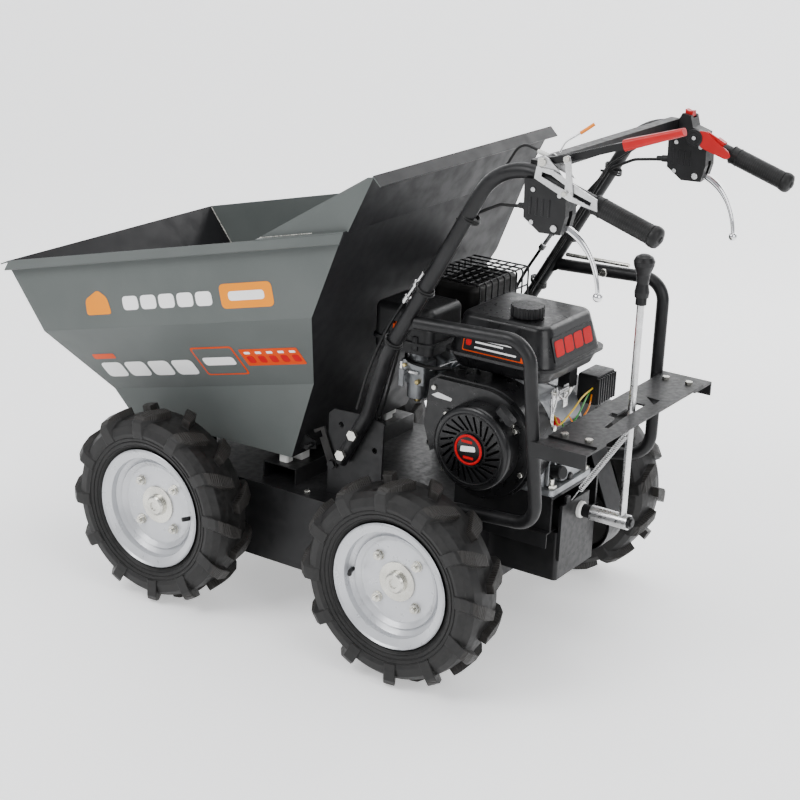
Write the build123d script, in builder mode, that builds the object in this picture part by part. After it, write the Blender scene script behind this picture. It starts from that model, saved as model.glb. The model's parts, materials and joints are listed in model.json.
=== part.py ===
"""Four-wheel-drive petrol mini dumper, built as separate named pieces.

Millimetres, +Z up, ground at z = 0. The bin is at -Y, the operator at +Y,
the machine's left side is +X.
"""
import os
from math import atan, atan2, cos, degrees, hypot, radians, sin

from build123d import *

os.makedirs("parts", exist_ok=True)

# ---------------------------------------------------------------- overall
WHEELBASE = 582.0
AXLE_MID_Y = -12.5
AXLE_Z = 203.0
WHEEL_X = 332.0
TYRE_D = 406.0
TYRE_W = 110.0
CHASSIS_HALF_W = 245.0
CHASSIS_TOP = 265.0
CHASSIS_BOTTOM = 105.0
CHASSIS_FRONT = -400.0
CHASSIS_REAR = 315.0
SHEET = 3.0
FRONT_Y = AXLE_MID_Y - WHEELBASE / 2
REAR_Y = AXLE_MID_Y + WHEELBASE / 2

# ---------------------------------------------------------------- fits
RUN = 0.05          # radial clearance of a shaft turning in its bearing
GAP = 0.4           # space left between pieces that move past each other

# ---------------------------------------------------------------- bin
BIN_HALF_W = 330.0
BIN_FOLD_HALF_W = 230.0
BIN_FLOOR_Z = 320.0
BIN_SHEET = 2.5
BIN_SLOPE = 0.2428              # rise of the rim and fold lines towards the rear
RIM_Z0 = 806.3                  # height of each line where y = 0
FOLD1_Z0 = 651.0
FOLD2_Z0 = 497.6
LOWER_TAPER = 0.15
FRONT_TOP = (-722.0, 627.0)     # a point of the front wall and its slope
FRONT_LEAN = 0.7866
REAR_TOP = (122.5, 836.0)
REAR_LEAN = 0.38
LIP = 22.0
LIP_FRONT_Y = -743.2
BACK_TOP = (175.5, 945.0)
TIP_Y = -345.0
TIP_Z = 290.0
TIP_PIN_R = 8.0

# ---------------------------------------------------------------- frame
TUBE_D = 27.0
TUBE_WALL = 2.5
GUARD_D = 25.0
HANDLE_X = 275.0
BRACKET_X = 195.0
BRACKET_T = 5.0
GRIP_SLOPE = 0.3172
GRIP_Z0 = 1144.6
GATE_Z = 508.0
GATE_T = 4.0
LEVER_Y = 560.0
LEVER_Z = 286.0

# ---------------------------------------------------------------- engine
CRANK_Y = 339.0
CRANK_Z = 441.0
ENGINE_BASE = 335.0
SHROUD_X0 = 95.0
SHROUD_X1 = 172.0
SHROUD_R = 112.0
SHROUD_STEP = 8.0
PULLEY_X = -135.0
GEARBOX_SHAFT = (406.0, 215.0)
ENGINE_PULLEY_R = 34.0
GEARBOX_PULLEY_R = 58.0
BELT_T = 8.0
BELT_W = 12.0
COVER_GROW = 17.0

BOLT_HEAD = {8: (13.0, 5.5), 10: (17.0, 7.0), 12: (19.0, 8.0)}
SIDES = (1, -1)
CORNERS = {
    "front_left": (1, FRONT_Y),
    "rear_left": (1, REAR_Y),
    "front_right": (-1, FRONT_Y),
    "rear_right": (-1, REAR_Y),
}


# ---------------------------------------------------------------- helpers
def save(part, label):
    """Name a finished piece and write its file."""
    part.label = label
    export_step(part, f"parts/{label}.step")


def group(solids):
    """Identical or matching solids kept together as one piece."""
    return Compound(children=list(solids))


def strip(points, thickness, side=0):
    """Closed outline of a bent sheet seen edge-on, with mitred bends.

    side 0 centres the sheet on the line, 1 and -1 put it on one side.
    """
    low = -thickness / 2 + side * thickness / 2
    high = thickness / 2 + side * thickness / 2

    def offset_line(distance):
        out = []
        for index, (px, py) in enumerate(points):
            before = points[max(index - 1, 0)]
            after = points[min(index + 1, len(points) - 1)]
            normals = []
            for start, end in ((before, (px, py)), ((px, py), after)):
                length = hypot(end[0] - start[0], end[1] - start[1])
                if length > 0:
                    normals.append((-(end[1] - start[1]) / length, (end[0] - start[0]) / length))
            nx = sum(n[0] for n in normals) / len(normals)
            ny = sum(n[1] for n in normals) / len(normals)
            scale = distance / (nx * nx + ny * ny)
            out.append((px + nx * scale, py + ny * scale))
        return out

    return offset_line(low) + offset_line(high)[::-1]


def sheet_x(outline, x0, x1):
    """Outline in (y, z), extruded from x0 to x1."""
    with BuildPart() as plate:
        with BuildSketch(Plane.YZ.offset(x0)):
            Polygon(*outline, align=None)
        extrude(amount=x1 - x0)
    return plate.part


def block(x0, x1, y0, y1, z0, z1, fillet_r=0.0):
    """Box between limits, with its upright edges rounded."""
    with BuildPart() as body:
        with BuildSketch(Plane.XY.offset(z0)):
            with Locations(((x0 + x1) / 2, (y0 + y1) / 2)):
                if fillet_r > 0:
                    RectangleRounded(x1 - x0, y1 - y0, fillet_r)
                else:
                    Rectangle(x1 - x0, y1 - y0)
        extrude(amount=z1 - z0)
    return body.part


def rod_x(y, z, radius, x0, x1, bore=0.0):
    """Round bar along X, bored right through when bore is given."""
    with BuildPart() as bar:
        with BuildSketch(Plane.YZ.offset(min(x0, x1))):
            with Locations((y, z)):
                Circle(radius)
                if bore > 0:
                    Circle(bore, mode=Mode.SUBTRACT)
        extrude(amount=abs(x1 - x0))
    return bar.part


def bent_tube(points, bends, diameter, wall=0.0):
    """Round tube or cable along straight runs joined by tangent bends."""
    with BuildPart() as tube:
        with BuildLine() as route:
            if len(points) > 2:
                FilletPolyline(*points, radius=bends)
            else:
                Line(*points)
        start = route.line @ 0
        with BuildSketch(Plane(origin=start, z_dir=route.line % 0)):
            Circle(diameter / 2)
            if wall > 0:
                Circle(diameter / 2 - wall, mode=Mode.SUBTRACT)
        sweep()
    return tube.part


def hex_bolt_x(y, z, x_face, direction, size, length):
    """Hexagon bolt along X: the head stands on x_face, the shank goes the other way."""
    across, height = BOLT_HEAD[size]
    x_out = x_face + direction * height
    with BuildPart() as bolt:
        with BuildSketch(Plane.YZ.offset(min(x_face, x_out))):
            with Locations((y, z)):
                RegularPolygon(across / 2, 6, major_radius=False)
        extrude(amount=height)
        x_end = x_face - direction * length
        with BuildSketch(Plane.YZ.offset(min(x_face, x_end))):
            with Locations((y, z)):
                Circle(size / 2)
        extrude(amount=length)
    return bolt.part


def hex_bolt_z(x, y, z_face, size, length):
    """Hexagon bolt with its head on z_face and its shank downwards."""
    across, height = BOLT_HEAD[size]
    with BuildPart() as bolt:
        with BuildSketch(Plane.XY.offset(z_face)):
            with Locations((x, y)):
                RegularPolygon(across / 2, 6, major_radius=False)
        extrude(amount=height)
        with BuildSketch(Plane.XY.offset(z_face - length)):
            with Locations((x, y)):
                Circle(size / 2)
        extrude(amount=length)
    return bolt.part


def mirrored(part):
    """The same piece on the right-hand side."""
    return part.mirror(Plane.YZ)


def at_corner(part, side, y):
    """Place a wheel piece built with its axle on Z and its outer face at +Z."""
    turn = 90 if side > 0 else -90
    return part.moved(Location((side * WHEEL_X, y, AXLE_Z), (0, turn, 0)))


def line_z(z0, y):
    """Height of a rim or fold line at y."""
    return z0 + BIN_SLOPE * y


def front_y(z):
    """Front wall of the bin at height z."""
    return FRONT_TOP[0] + FRONT_LEAN * (FRONT_TOP[1] - z)


def rear_y(z):
    """Rear wall of the bin at height z."""
    return REAR_TOP[0] + REAR_LEAN * (z - REAR_TOP[1])


def grip_z(y):
    """Height of the handlebar's straight rear run at y."""
    return GRIP_Z0 - GRIP_SLOPE * y


# ================================================================ wheels
CARCASS_R = 187.0
BEAD_R = 108.0
FLANGE_R = 123.0
RIM_HALF_W = 44.0
LUGS_PER_SIDE = 12
LUG_W = 19.0
DISC_R = 80.0
DISC_Z = 12.0           # outer face of the flat disc, from the wheel's middle
DISC_T = 4.0
HUB_R = 38.5
STUD_PCD = 120.0
SHAFT_R = 12.5
HUB_TUBE_R = 22.0


def make_tyre():
    """Agricultural tyre: hollow carcass with staggered chevron lugs."""
    half = TYRE_W / 2
    outer = [
        (BEAD_R, -30), (BEAD_R + 10, -33), (FLANGE_R + 3, -38), (135, -47), (158, -half + 2), (174, -50), (184, -38),
        (CARCASS_R, -18), (CARCASS_R, 18), (184, 38), (174, 50), (158, half - 2), (135, 47),
        (FLANGE_R + 3, 38), (BEAD_R + 10, 33), (BEAD_R, 30),
    ]
    inner = [
        (BEAD_R, 20), (128, 30), (150, 44), (166, 42), (176, 28), (178, 0),
        (176, -28), (166, -42), (150, -44), (128, -30), (BEAD_R, -20),
    ]
    envelope = [
        (150, -half + 2), (165, -half), (184, -half), (196, -47), (TYRE_D / 2 - 1.5, -30),
        (TYRE_D / 2, 0), (TYRE_D / 2 - 1.5, 30), (196, 47), (184, half), (165, half), (150, half - 2),
    ]
    with BuildPart() as lug:
        with BuildSketch(Plane.YZ.offset(140)):
            Polygon(
                (-LUG_W / 2 - 14, -1), (LUG_W / 2 - 14, -3), (LUG_W / 2 + 4, 26), (LUG_W / 2 + 22, half + 3),
                (-LUG_W / 2 + 18, half + 3), (-LUG_W / 2 - 4, 28), align=None,
            )
        extrude(amount=80)
        with BuildSketch(Plane.XZ):
            Polygon(*envelope, align=None)
        revolve(axis=Axis.Z, mode=Mode.INTERSECT)
    with BuildPart() as tyre:
        with BuildSketch(Plane.XZ):
            Polygon(*outer, *inner, align=None)
        revolve(axis=Axis.Z)
        with PolarLocations(0, LUGS_PER_SIDE):
            add(lug.part)
        other = lug.part.mirror(Plane.XY)
        with PolarLocations(0, LUGS_PER_SIDE, start_angle=180 / LUGS_PER_SIDE):
            add(other)
        with BuildSketch(Plane.XZ):
            Polygon(*inner, (BEAD_R - 5, -20), (BEAD_R - 5, 20), align=None)
        revolve(axis=Axis.Z, mode=Mode.SUBTRACT)
    return tyre.part


def make_rim():
    """Pressed steel rim: well, two flanges and a dished disc with four stud holes."""
    well = [
        (FLANGE_R, -RIM_HALF_W), (FLANGE_R - 4, -RIM_HALF_W + 3.5), (BEAD_R - 2, -35), (BEAD_R - 3, -22),
        (94, -16), (94, 14), (BEAD_R - 3, 22), (BEAD_R - 2, 35), (FLANGE_R - 4, RIM_HALF_W - 3.5),
        (FLANGE_R, RIM_HALF_W),
    ]
    dish = [(93.5, 8), (90, 17), (DISC_R + 2, DISC_Z - DISC_T / 2 + 1), (DISC_R - 3, DISC_Z - DISC_T / 2), (20, DISC_Z - DISC_T / 2)]
    with BuildPart() as rim:
        with BuildSketch(Plane.XZ):
            Polygon(*strip(well, 3.0), align=None)
        revolve(axis=Axis.Z)
        with BuildSketch(Plane.XZ):
            Polygon(*strip(dish, DISC_T), align=None)
        revolve(axis=Axis.Z)
        with BuildSketch(Plane.XY.offset(DISC_Z - DISC_T - 2)):
            Circle(HUB_TUBE_R + 0.2)
            with PolarLocations(STUD_PCD / 2, 4, start_angle=45):
                Circle(5.2)
        extrude(amount=DISC_T + 6, mode=Mode.SUBTRACT)
    return rim.part


def make_hub():
    """Hub flange, drive shaft and sprocket, with four studs and nuts and an outer washer."""
    inboard = WHEEL_X - CHASSIS_HALF_W
    with BuildPart() as hub:
        with BuildSketch(Plane.XY.offset(DISC_Z - DISC_T - 7)):
            Circle(72)
        extrude(amount=7)
        with BuildSketch(Plane.XY.offset(-40)):
            Circle(HUB_TUBE_R)
        extrude(amount=40 + DISC_Z + 8)
        with BuildSketch(Plane.XY.offset(DISC_Z)):
            Circle(HUB_R)
        extrude(amount=3.5)
        with BuildSketch(Plane.XY.offset(-inboard - 45)):
            Circle(SHAFT_R)
        extrude(amount=inboard + 20)
        with BuildSketch(Plane.XY.offset(-inboard - 38)):
            Circle(26)
            with PolarLocations(26, 13):
                Circle(3.2, mode=Mode.SUBTRACT)
        extrude(amount=6)
        with BuildSketch(Plane.XY.offset(DISC_Z)):
            with PolarLocations(STUD_PCD / 2, 4, start_angle=45):
                RegularPolygon(8.5, 6, major_radius=False)
        extrude(amount=8)
        with BuildSketch(Plane.XY.offset(DISC_Z - DISC_T)):
            with PolarLocations(STUD_PCD / 2, 4, start_angle=45):
                Circle(5)
        extrude(amount=DISC_T + 14)
        with BuildSketch(Plane.XY.offset(DISC_Z + 4)):
            Circle(8)
        extrude(amount=10, mode=Mode.SUBTRACT)
    return hub.part


tyre_part = make_tyre()
rim_part = make_rim()
hub_part = make_hub()
for corner, (wheel_side, wheel_y) in CORNERS.items():
    save(at_corner(tyre_part, wheel_side, wheel_y), f"tyre_{corner}")
    save(at_corner(rim_part, wheel_side, wheel_y), f"rim_{corner}")
    save(at_corner(hub_part, wheel_side, wheel_y), f"hub_{corner}")

# ================================================================ chassis
DECK_HALF_W = 105.0
DECK_REAR = 455.0
with BuildPart() as chassis_shell:
    with BuildSketch(Plane.XY.offset(CHASSIS_BOTTOM)):
        with Locations((0, (CHASSIS_FRONT + CHASSIS_REAR) / 2)):
            Rectangle(2 * CHASSIS_HALF_W, CHASSIS_REAR - CHASSIS_FRONT)
    extrude(amount=CHASSIS_TOP - CHASSIS_BOTTOM)
    with BuildSketch(Plane.XY.offset(CHASSIS_BOTTOM - 1)):
        with Locations((0, (CHASSIS_FRONT + CHASSIS_REAR) / 2)):
            Rectangle(2 * (CHASSIS_HALF_W - SHEET), CHASSIS_REAR - CHASSIS_FRONT - 2 * SHEET)
    extrude(amount=CHASSIS_TOP - CHASSIS_BOTTOM + 1 - SHEET, mode=Mode.SUBTRACT)
    for fold in SIDES:
        with BuildSketch(Plane.XZ.offset(-CHASSIS_REAR)):
            with Locations((fold * (CHASSIS_HALF_W - 10), CHASSIS_BOTTOM + SHEET / 2)):
                Rectangle(20, SHEET)
        extrude(amount=CHASSIS_REAR - CHASSIS_FRONT)
    with BuildSketch(Plane.XY.offset(CHASSIS_TOP - SHEET)):
        with Locations((0, (CHASSIS_REAR + DECK_REAR) / 2)):
            Rectangle(2 * DECK_HALF_W, DECK_REAR - CHASSIS_REAR)
    extrude(amount=SHEET)
    for deck_side in SIDES:
        with BuildSketch(Plane.XY.offset(CHASSIS_TOP - 30)):
            with Locations((deck_side * (DECK_HALF_W - SHEET / 2), (CHASSIS_REAR + DECK_REAR) / 2)):
                Rectangle(SHEET, DECK_REAR - CHASSIS_REAR)
        extrude(amount=30)
    with BuildSketch(Plane.XZ.offset(-CHASSIS_REAR - 5)):
        with Locations((-10, 200)):
            Rectangle(176, 124)
    extrude(amount=20, mode=Mode.SUBTRACT)
    with BuildSketch(Plane.YZ.offset(-CHASSIS_HALF_W - 5)):
        with Locations((FRONT_Y, AXLE_Z), (REAR_Y, AXLE_Z)):
            Circle(SHAFT_R + 6)
    extrude(amount=2 * CHASSIS_HALF_W + 10, mode=Mode.SUBTRACT)
save(chassis_shell.part, "chassis_shell")

BEARING_R = 32.0
bearings = []
for wheel_side, wheel_y in CORNERS.values():
    bearings.append(
        rod_x(wheel_y, AXLE_Z, BEARING_R, wheel_side * CHASSIS_HALF_W, wheel_side * (CHASSIS_HALF_W + 12), SHAFT_R + RUN)
    )
save(group(bearings), "shaft_bearings")

SPROCKET_R = 26.0
CHAIN_R = SPROCKET_R + 4.5
CHAIN_X = 204.0
CHAIN_W = 8.0
chains = []
for chain_side in SIDES:
    x_mid = chain_side * CHAIN_X
    with BuildPart() as chain:
        with BuildSketch(Plane.YZ.offset(x_mid - CHAIN_W / 2)):
            with Locations((AXLE_MID_Y, AXLE_Z)):
                SlotCenterToCenter(WHEELBASE, 2 * CHAIN_R)
                SlotCenterToCenter(WHEELBASE, 2 * CHAIN_R - 8, mode=Mode.SUBTRACT)
        extrude(amount=CHAIN_W)
    chains.append(chain.part)
save(group(chains), "drive_chains")

# plates and channels welded to the chassis top
HINGE_X = 150.0
BRACKET_OUTLINE = [
    (10, CHASSIS_TOP), (10, 432), (22, 444), (89.5, 447), (139.5, 440), (137.5, 349), (137.5, CHASSIS_TOP),
]
BOLT_LOW = (62.0, 366.0)
BOLT_UP = (88.0, 413.0)
LATCH_PIVOT = (24.0, 330.0)
with BuildPart() as handle_bracket:
    with BuildSketch(Plane.YZ.offset(BRACKET_X)):
        Polygon(*BRACKET_OUTLINE, align=None)
        with Locations((40, 415), (120, 380)):
            Circle(6, mode=Mode.SUBTRACT)
        with Locations(BOLT_LOW, BOLT_UP):
            Circle(6, mode=Mode.SUBTRACT)
        with Locations((115, 300)):
            Circle(9, mode=Mode.SUBTRACT)
    extrude(amount=BRACKET_T)
    with BuildSketch(Plane.XY.offset(CHASSIS_TOP)):
        with Locations((BRACKET_X - 16, 73)):
            Rectangle(32, 128)
    extrude(amount=5)
    with BuildSketch(Plane.YZ.offset(BRACKET_X - 3)):
        with Locations(BOLT_LOW, BOLT_UP):
            Circle(6)
    extrude(amount=3, mode=Mode.SUBTRACT)
with BuildPart() as latch_bracket:
    add(handle_bracket.part)
    with BuildSketch(Plane.YZ.offset(BRACKET_X + BRACKET_T)):
        with Locations(LATCH_PIVOT):
            Circle(5)
    extrude(amount=5 + 2 * GAP)
    with BuildSketch(Plane.YZ.offset(BRACKET_X + BRACKET_T + 5 + 2 * GAP)):
        with Locations(LATCH_PIVOT):
            RegularPolygon(8, 6, major_radius=False)
    extrude(amount=5)
save(group([latch_bracket.part, mirrored(handle_bracket.part)]), "handle_brackets")

hinge_plates = []
for hinge_side in SIDES:
    for offset in (0, 24):
        x_low = hinge_side * HINGE_X - 14 + offset
        with BuildPart() as hinge_plate:
            with BuildSketch(Plane.YZ.offset(x_low)):
                with Locations((TIP_Y, TIP_Z - 4)):
                    Rectangle(44, 2 * (TIP_Z - 4 - CHASSIS_TOP))
                with Locations((TIP_Y, TIP_Z)):
                    Circle(17)
                with Locations((TIP_Y, TIP_Z)):
                    Circle(TIP_PIN_R + RUN, mode=Mode.SUBTRACT)
                with Locations((TIP_Y, CHASSIS_TOP - 20)):
                    Rectangle(60, 40, mode=Mode.SUBTRACT)
            extrude(amount=4)
        hinge_plates.append(hinge_plate.part)

CHANNEL_Y = (-140.0, -58.0)
CHANNEL_TOP = 300.0
channel_line = [
    (CHANNEL_Y[0], CHASSIS_TOP), (CHANNEL_Y[0], CHANNEL_TOP), (CHANNEL_Y[1], CHANNEL_TOP), (CHANNEL_Y[1], CHASSIS_TOP),
]
rest_channel = sheet_x(strip(channel_line, 3.0, side=-1), -212, 212)
save(group([*hinge_plates, rest_channel]), "bin_supports")

pads = []
for pad_side in SIDES:
    pads.append(block(pad_side * 185 - 11, pad_side * 185 + 11, -114, -92, CHANNEL_TOP, BIN_FLOOR_Z - GAP, 5))
    pads.append(block(pad_side * 150 - 14, pad_side * 150 + 14, -135, -80, CHANNEL_TOP, BIN_FLOOR_Z - GAP - 2, 3))
save(group(pads), "rest_pads")

# ================================================================ bin
slope_angle = atan(BIN_SLOPE)
slope_dir = (0, cos(slope_angle), sin(slope_angle))


def across(z0):
    """Distance of a fold line from the section plane's origin, downwards positive."""
    return -z0 * cos(slope_angle)


def tub_solid(inset):
    """The bin's outside shape, or its inside when inset by the sheet."""
    low = FOLD2_Z0 - 330.0
    right = [
        (BIN_HALF_W - inset, across(RIM_Z0 + 60)),
        (BIN_HALF_W - inset, across(FOLD1_Z0 + inset * 0.6)),
        (BIN_FOLD_HALF_W - inset, across(FOLD2_Z0 + inset * 0.6)),
        (BIN_FOLD_HALF_W - LOWER_TAPER * 330.0 - inset, across(low)),
    ]
    left = [(-x, y) for x, y in reversed(right)]
    floor = BIN_FLOOR_Z + inset
    front_in = inset * hypot(1, FRONT_LEAN)
    rear_in = inset * hypot(1, REAR_LEAN)
    y_front_rim = (FRONT_TOP[0] + FRONT_LEAN * (FRONT_TOP[1] - RIM_Z0)) / (1 + FRONT_LEAN * BIN_SLOPE)
    y_rear_rim = (REAR_TOP[0] + REAR_LEAN * (RIM_Z0 - REAR_TOP[1])) / (1 - REAR_LEAN * BIN_SLOPE)
    lift = 30.0 if inset > 0 else 0.0
    profile = [
        (front_y(floor) + front_in, floor),
        (y_front_rim + front_in, line_z(RIM_Z0, y_front_rim)),
        (y_front_rim + front_in - FRONT_LEAN * lift, line_z(RIM_Z0, y_front_rim) + lift),
        (y_rear_rim - rear_in + REAR_LEAN * lift, line_z(RIM_Z0, y_rear_rim) + lift),
        (y_rear_rim - rear_in, line_z(RIM_Z0, y_rear_rim)),
        (rear_y(floor) - rear_in, floor),
    ]
    if inset == 0:
        profile = [profile[0], profile[1], profile[4], profile[5]]
    with BuildPart() as tub:
        with BuildSketch(Plane(origin=(0, 0, 0), x_dir=(1, 0, 0), z_dir=slope_dir)):
            Polygon(*right, *left, align=None)
        extrude(amount=1200, both=True)
        with BuildSketch(Plane.YZ):
            Polygon(*profile, align=None)
        extrude(amount=500, both=True, mode=Mode.INTERSECT)
    return tub.part


RIM_FRONT_Y = (FRONT_TOP[0] + FRONT_LEAN * (FRONT_TOP[1] - RIM_Z0)) / (1 + FRONT_LEAN * BIN_SLOPE)
RIM_REAR_Y = (REAR_TOP[0] + REAR_LEAN * (RIM_Z0 - REAR_TOP[1])) / (1 - REAR_LEAN * BIN_SLOPE)
rim_n = across(RIM_Z0)
LIP_START_Y = rim_n * sin(slope_angle)
lip_side = [(BIN_HALF_W - BIN_SHEET / 2, rim_n + 0.8), (BIN_HALF_W + LIP * 0.7, rim_n + LIP * 0.75)]
lip_front = [
    (RIM_FRONT_Y + 2.0, line_z(RIM_Z0, RIM_FRONT_Y) - 1.0),
    (LIP_FRONT_Y, line_z(RIM_Z0, RIM_FRONT_Y) - 10.0),
]
with BuildPart() as bin_tub:
    add(tub_solid(0))
    add(tub_solid(BIN_SHEET), mode=Mode.SUBTRACT)
    for lip_turn in SIDES:
        with BuildSketch(Plane(origin=(0, 0, 0), x_dir=(1, 0, 0), z_dir=slope_dir)):
            Polygon(*[(lip_turn * x, y) for x, y in strip(lip_side, BIN_SHEET)], align=None)
        extrude(amount=(RIM_REAR_Y - LIP_START_Y) / cos(slope_angle))
        with BuildSketch(Plane(origin=(0, 0, 0), x_dir=(1, 0, 0), z_dir=slope_dir)):
            Polygon(*[(lip_turn * x, y) for x, y in strip(lip_side, BIN_SHEET)], align=None)
        extrude(amount=(RIM_FRONT_Y - LIP_START_Y) / cos(slope_angle) + 6)
    with BuildSketch(Plane.YZ.offset(-BIN_HALF_W + 1)):
        Polygon(*strip(lip_front, BIN_SHEET), align=None)
    extrude(amount=2 * BIN_HALF_W - 2)
save(bin_tub.part, "bin_tub")

rear_rim_z = line_z(RIM_Z0, RIM_REAR_Y)
back_line = [
    (RIM_REAR_Y + 1.2, rear_rim_z + 0.5), BACK_TOP, (BACK_TOP[0] + 16, BACK_TOP[1] - 16),
]
WING_X = BIN_HALF_W - 7  # middle of each wing's flange
WING_FRONT_Y = -76.0
FLANGE_W = 14.0
with BuildPart() as bin_back:
    with BuildSketch(Plane.YZ.offset(-BIN_HALF_W + 12)):
        Polygon(*strip(back_line, BIN_SHEET), align=None)
    extrude(amount=2 * (BIN_HALF_W - 12))
    for wing_side in SIDES:
        x_low = WING_X - 7.5 if wing_side > 0 else -WING_X + 5
        with BuildSketch(Plane.YZ.offset(x_low)):
            Polygon(
                (WING_FRONT_Y, line_z(RIM_Z0, WING_FRONT_Y) + 0.3), (RIM_REAR_Y - 1, rear_rim_z + 0.3),
                (RIM_REAR_Y + 1, rear_rim_z + 1), (BACK_TOP[0] - 1, BACK_TOP[1] - 1),
                (BACK_TOP[0] - 12, BACK_TOP[1] - 3), (WING_FRONT_Y + 8, line_z(RIM_Z0, WING_FRONT_Y) + 9), align=None,
            )
        extrude(amount=BIN_SHEET)
        with BuildSketch(Plane.YZ.offset(wing_side * WING_X - FLANGE_W / 2)):
            Polygon(
                (WING_FRONT_Y, line_z(RIM_Z0, WING_FRONT_Y)), (RIM_REAR_Y, rear_rim_z),
                (RIM_REAR_Y, rear_rim_z + BIN_SHEET), (WING_FRONT_Y, line_z(RIM_Z0, WING_FRONT_Y) + BIN_SHEET),
                align=None,
            )
        extrude(amount=FLANGE_W)
save(bin_back.part, "bin_back_plate")

# hinge lugs with the tipping pin, and the catch on the rear wall
CATCH_Y = -36.0
CATCH_Z = 352.0
lugs = []
for lug_side in SIDES:
    with BuildPart() as hinge_lug:
        with BuildSketch(Plane.YZ.offset(lug_side * HINGE_X - 7)):
            with Locations((TIP_Y, (TIP_Z + BIN_FLOOR_Z) / 2)):
                Rectangle(34, BIN_FLOOR_Z - TIP_Z)
            with Locations((TIP_Y, TIP_Z)):
                Circle(17)
        extrude(amount=14)
        with BuildSketch(Plane.YZ.offset(lug_side * HINGE_X - 20)):
            with Locations((TIP_Y, TIP_Z)):
                Circle(TIP_PIN_R)
        extrude(amount=40)
    lugs.append(hinge_lug.part)
with BuildPart() as catch:
    with BuildSketch(Plane.YZ.offset(184)):
        Polygon(
            (rear_y(336), 336), (rear_y(368), 368), (CATCH_Y + 8, 360), (CATCH_Y + 8, 344), align=None,
        )
    extrude(amount=5)
    with BuildSketch(Plane.YZ.offset(184)):
        with Locations((CATCH_Y, CATCH_Z)):
            Circle(5)
    extrude(amount=26)
lugs.append(catch.part)
save(group(lugs), "bin_lugs")

LATCH_X = BRACKET_X + BRACKET_T + GAP
LATCH_OPEN = 40.0
catch_r = hypot(CATCH_Y - LATCH_PIVOT[0], CATCH_Z - LATCH_PIVOT[1])
catch_turn = degrees(atan2(CATCH_Z - LATCH_PIVOT[1], CATCH_Y - LATCH_PIVOT[0]))
hook_points = []
for reach, offset in (
    (11, 62), (40, 7), (catch_r - 6.4, 3), (catch_r - 6.4, -5.6), (catch_r + 6.4, -5.6), (catch_r + 6.4, 8),
    (catch_r + 13, 7), (catch_r + 13, -13), (catch_r - 9, -16), (30, -24), (11, -75),
):
    bearing = radians(catch_turn - LATCH_OPEN + offset)
    hook_points.append((LATCH_PIVOT[0] + reach * cos(bearing), LATCH_PIVOT[1] + reach * sin(bearing)))
with BuildPart() as latch_hook:
    with BuildSketch(Plane.YZ.offset(LATCH_X)):
        with Locations(LATCH_PIVOT):
            Circle(11)
        Polygon(*hook_points, align=None)
        with Locations(LATCH_PIVOT):
            Circle(5 + RUN, mode=Mode.SUBTRACT)
    extrude(amount=5)
save(latch_hook.part, "latch_hook")

# ================================================================ frame tubes
handle_points = [
    (214, 51, 346), (214, 111, 457), (268, 187, 612), (HANDLE_X, 412.3, grip_z(412.3)), (HANDLE_X, 705, grip_z(705)),
]
handle_left = bent_tube(handle_points, (60, 90, 105), TUBE_D, TUBE_WALL)
with BuildPart() as handle_drilled:
    add(handle_left)
    with BuildSketch(Plane.YZ.offset(190)):
        with Locations(BOLT_LOW, BOLT_UP):
            Circle(6)
    extrude(amount=50, mode=Mode.SUBTRACT)
save(group([handle_drilled.part, mirrored(handle_drilled.part)]), "handle_tubes")

guard_points = [
    (267, 246, 680), (266, 481, 691), (230, 498, 336), (197, 298, 307),
]
GATE_BRACKET_X = (184.0, 260.0)


def make_guard():
    """Bent engine guard with its foot and the arm that carries the gate plate."""
    with BuildPart() as guard:
        add(bent_tube(guard_points, (45, 50), GUARD_D))
        add(block(185, 209, 288, 314, CHASSIS_TOP, 300, 3))
        add(block(GATE_BRACKET_X[0], GATE_BRACKET_X[1], 506, 604, GATE_Z - 4, GATE_Z))
        add(block(GATE_BRACKET_X[1] - 4, GATE_BRACKET_X[1], 494, 604, GATE_Z - 28, GATE_Z))
        add(block(232, GATE_BRACKET_X[1] - 4, 490, 507, GATE_Z - 20, GATE_Z))
        with BuildSketch(Plane.XY.offset(GATE_Z - 10)):
            with Locations((205, 530.5), (205, 579.5)):
                Circle(4)
        extrude(amount=20, mode=Mode.SUBTRACT)
        with BuildSketch(Plane.YZ.offset(262)):
            with Locations((231, 681)):
                Circle(17)
        extrude(amount=10)
        add(handle_left, mode=Mode.SUBTRACT)
        add(bent_tube(handle_points, (60, 90, 105), TUBE_D - 2), mode=Mode.SUBTRACT)
    return guard.part


guard_left = make_guard()
save(group([guard_left, mirrored(guard_left)]), "guard_tubes")

BEAM_Y = (462.0, 483.0)
BEAM_Z = (990.0, 1012.0)
beam_line = [(BEAM_Y[0], BEAM_Z[0]), (BEAM_Y[0], BEAM_Z[1]), (BEAM_Y[1], BEAM_Z[1]), (BEAM_Y[1], BEAM_Z[0])]
with BuildPart() as crossbeam:
    add(sheet_x(strip(beam_line, 2.5, side=-1), -HANDLE_X + 6, HANDLE_X - 6))
    for beam_side in SIDES:
        outer_tube = bent_tube(handle_points, (60, 90, 105), TUBE_D)
        add(outer_tube if beam_side > 0 else mirrored(outer_tube), mode=Mode.SUBTRACT)
save(crossbeam.part, "crossbeam")

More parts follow.
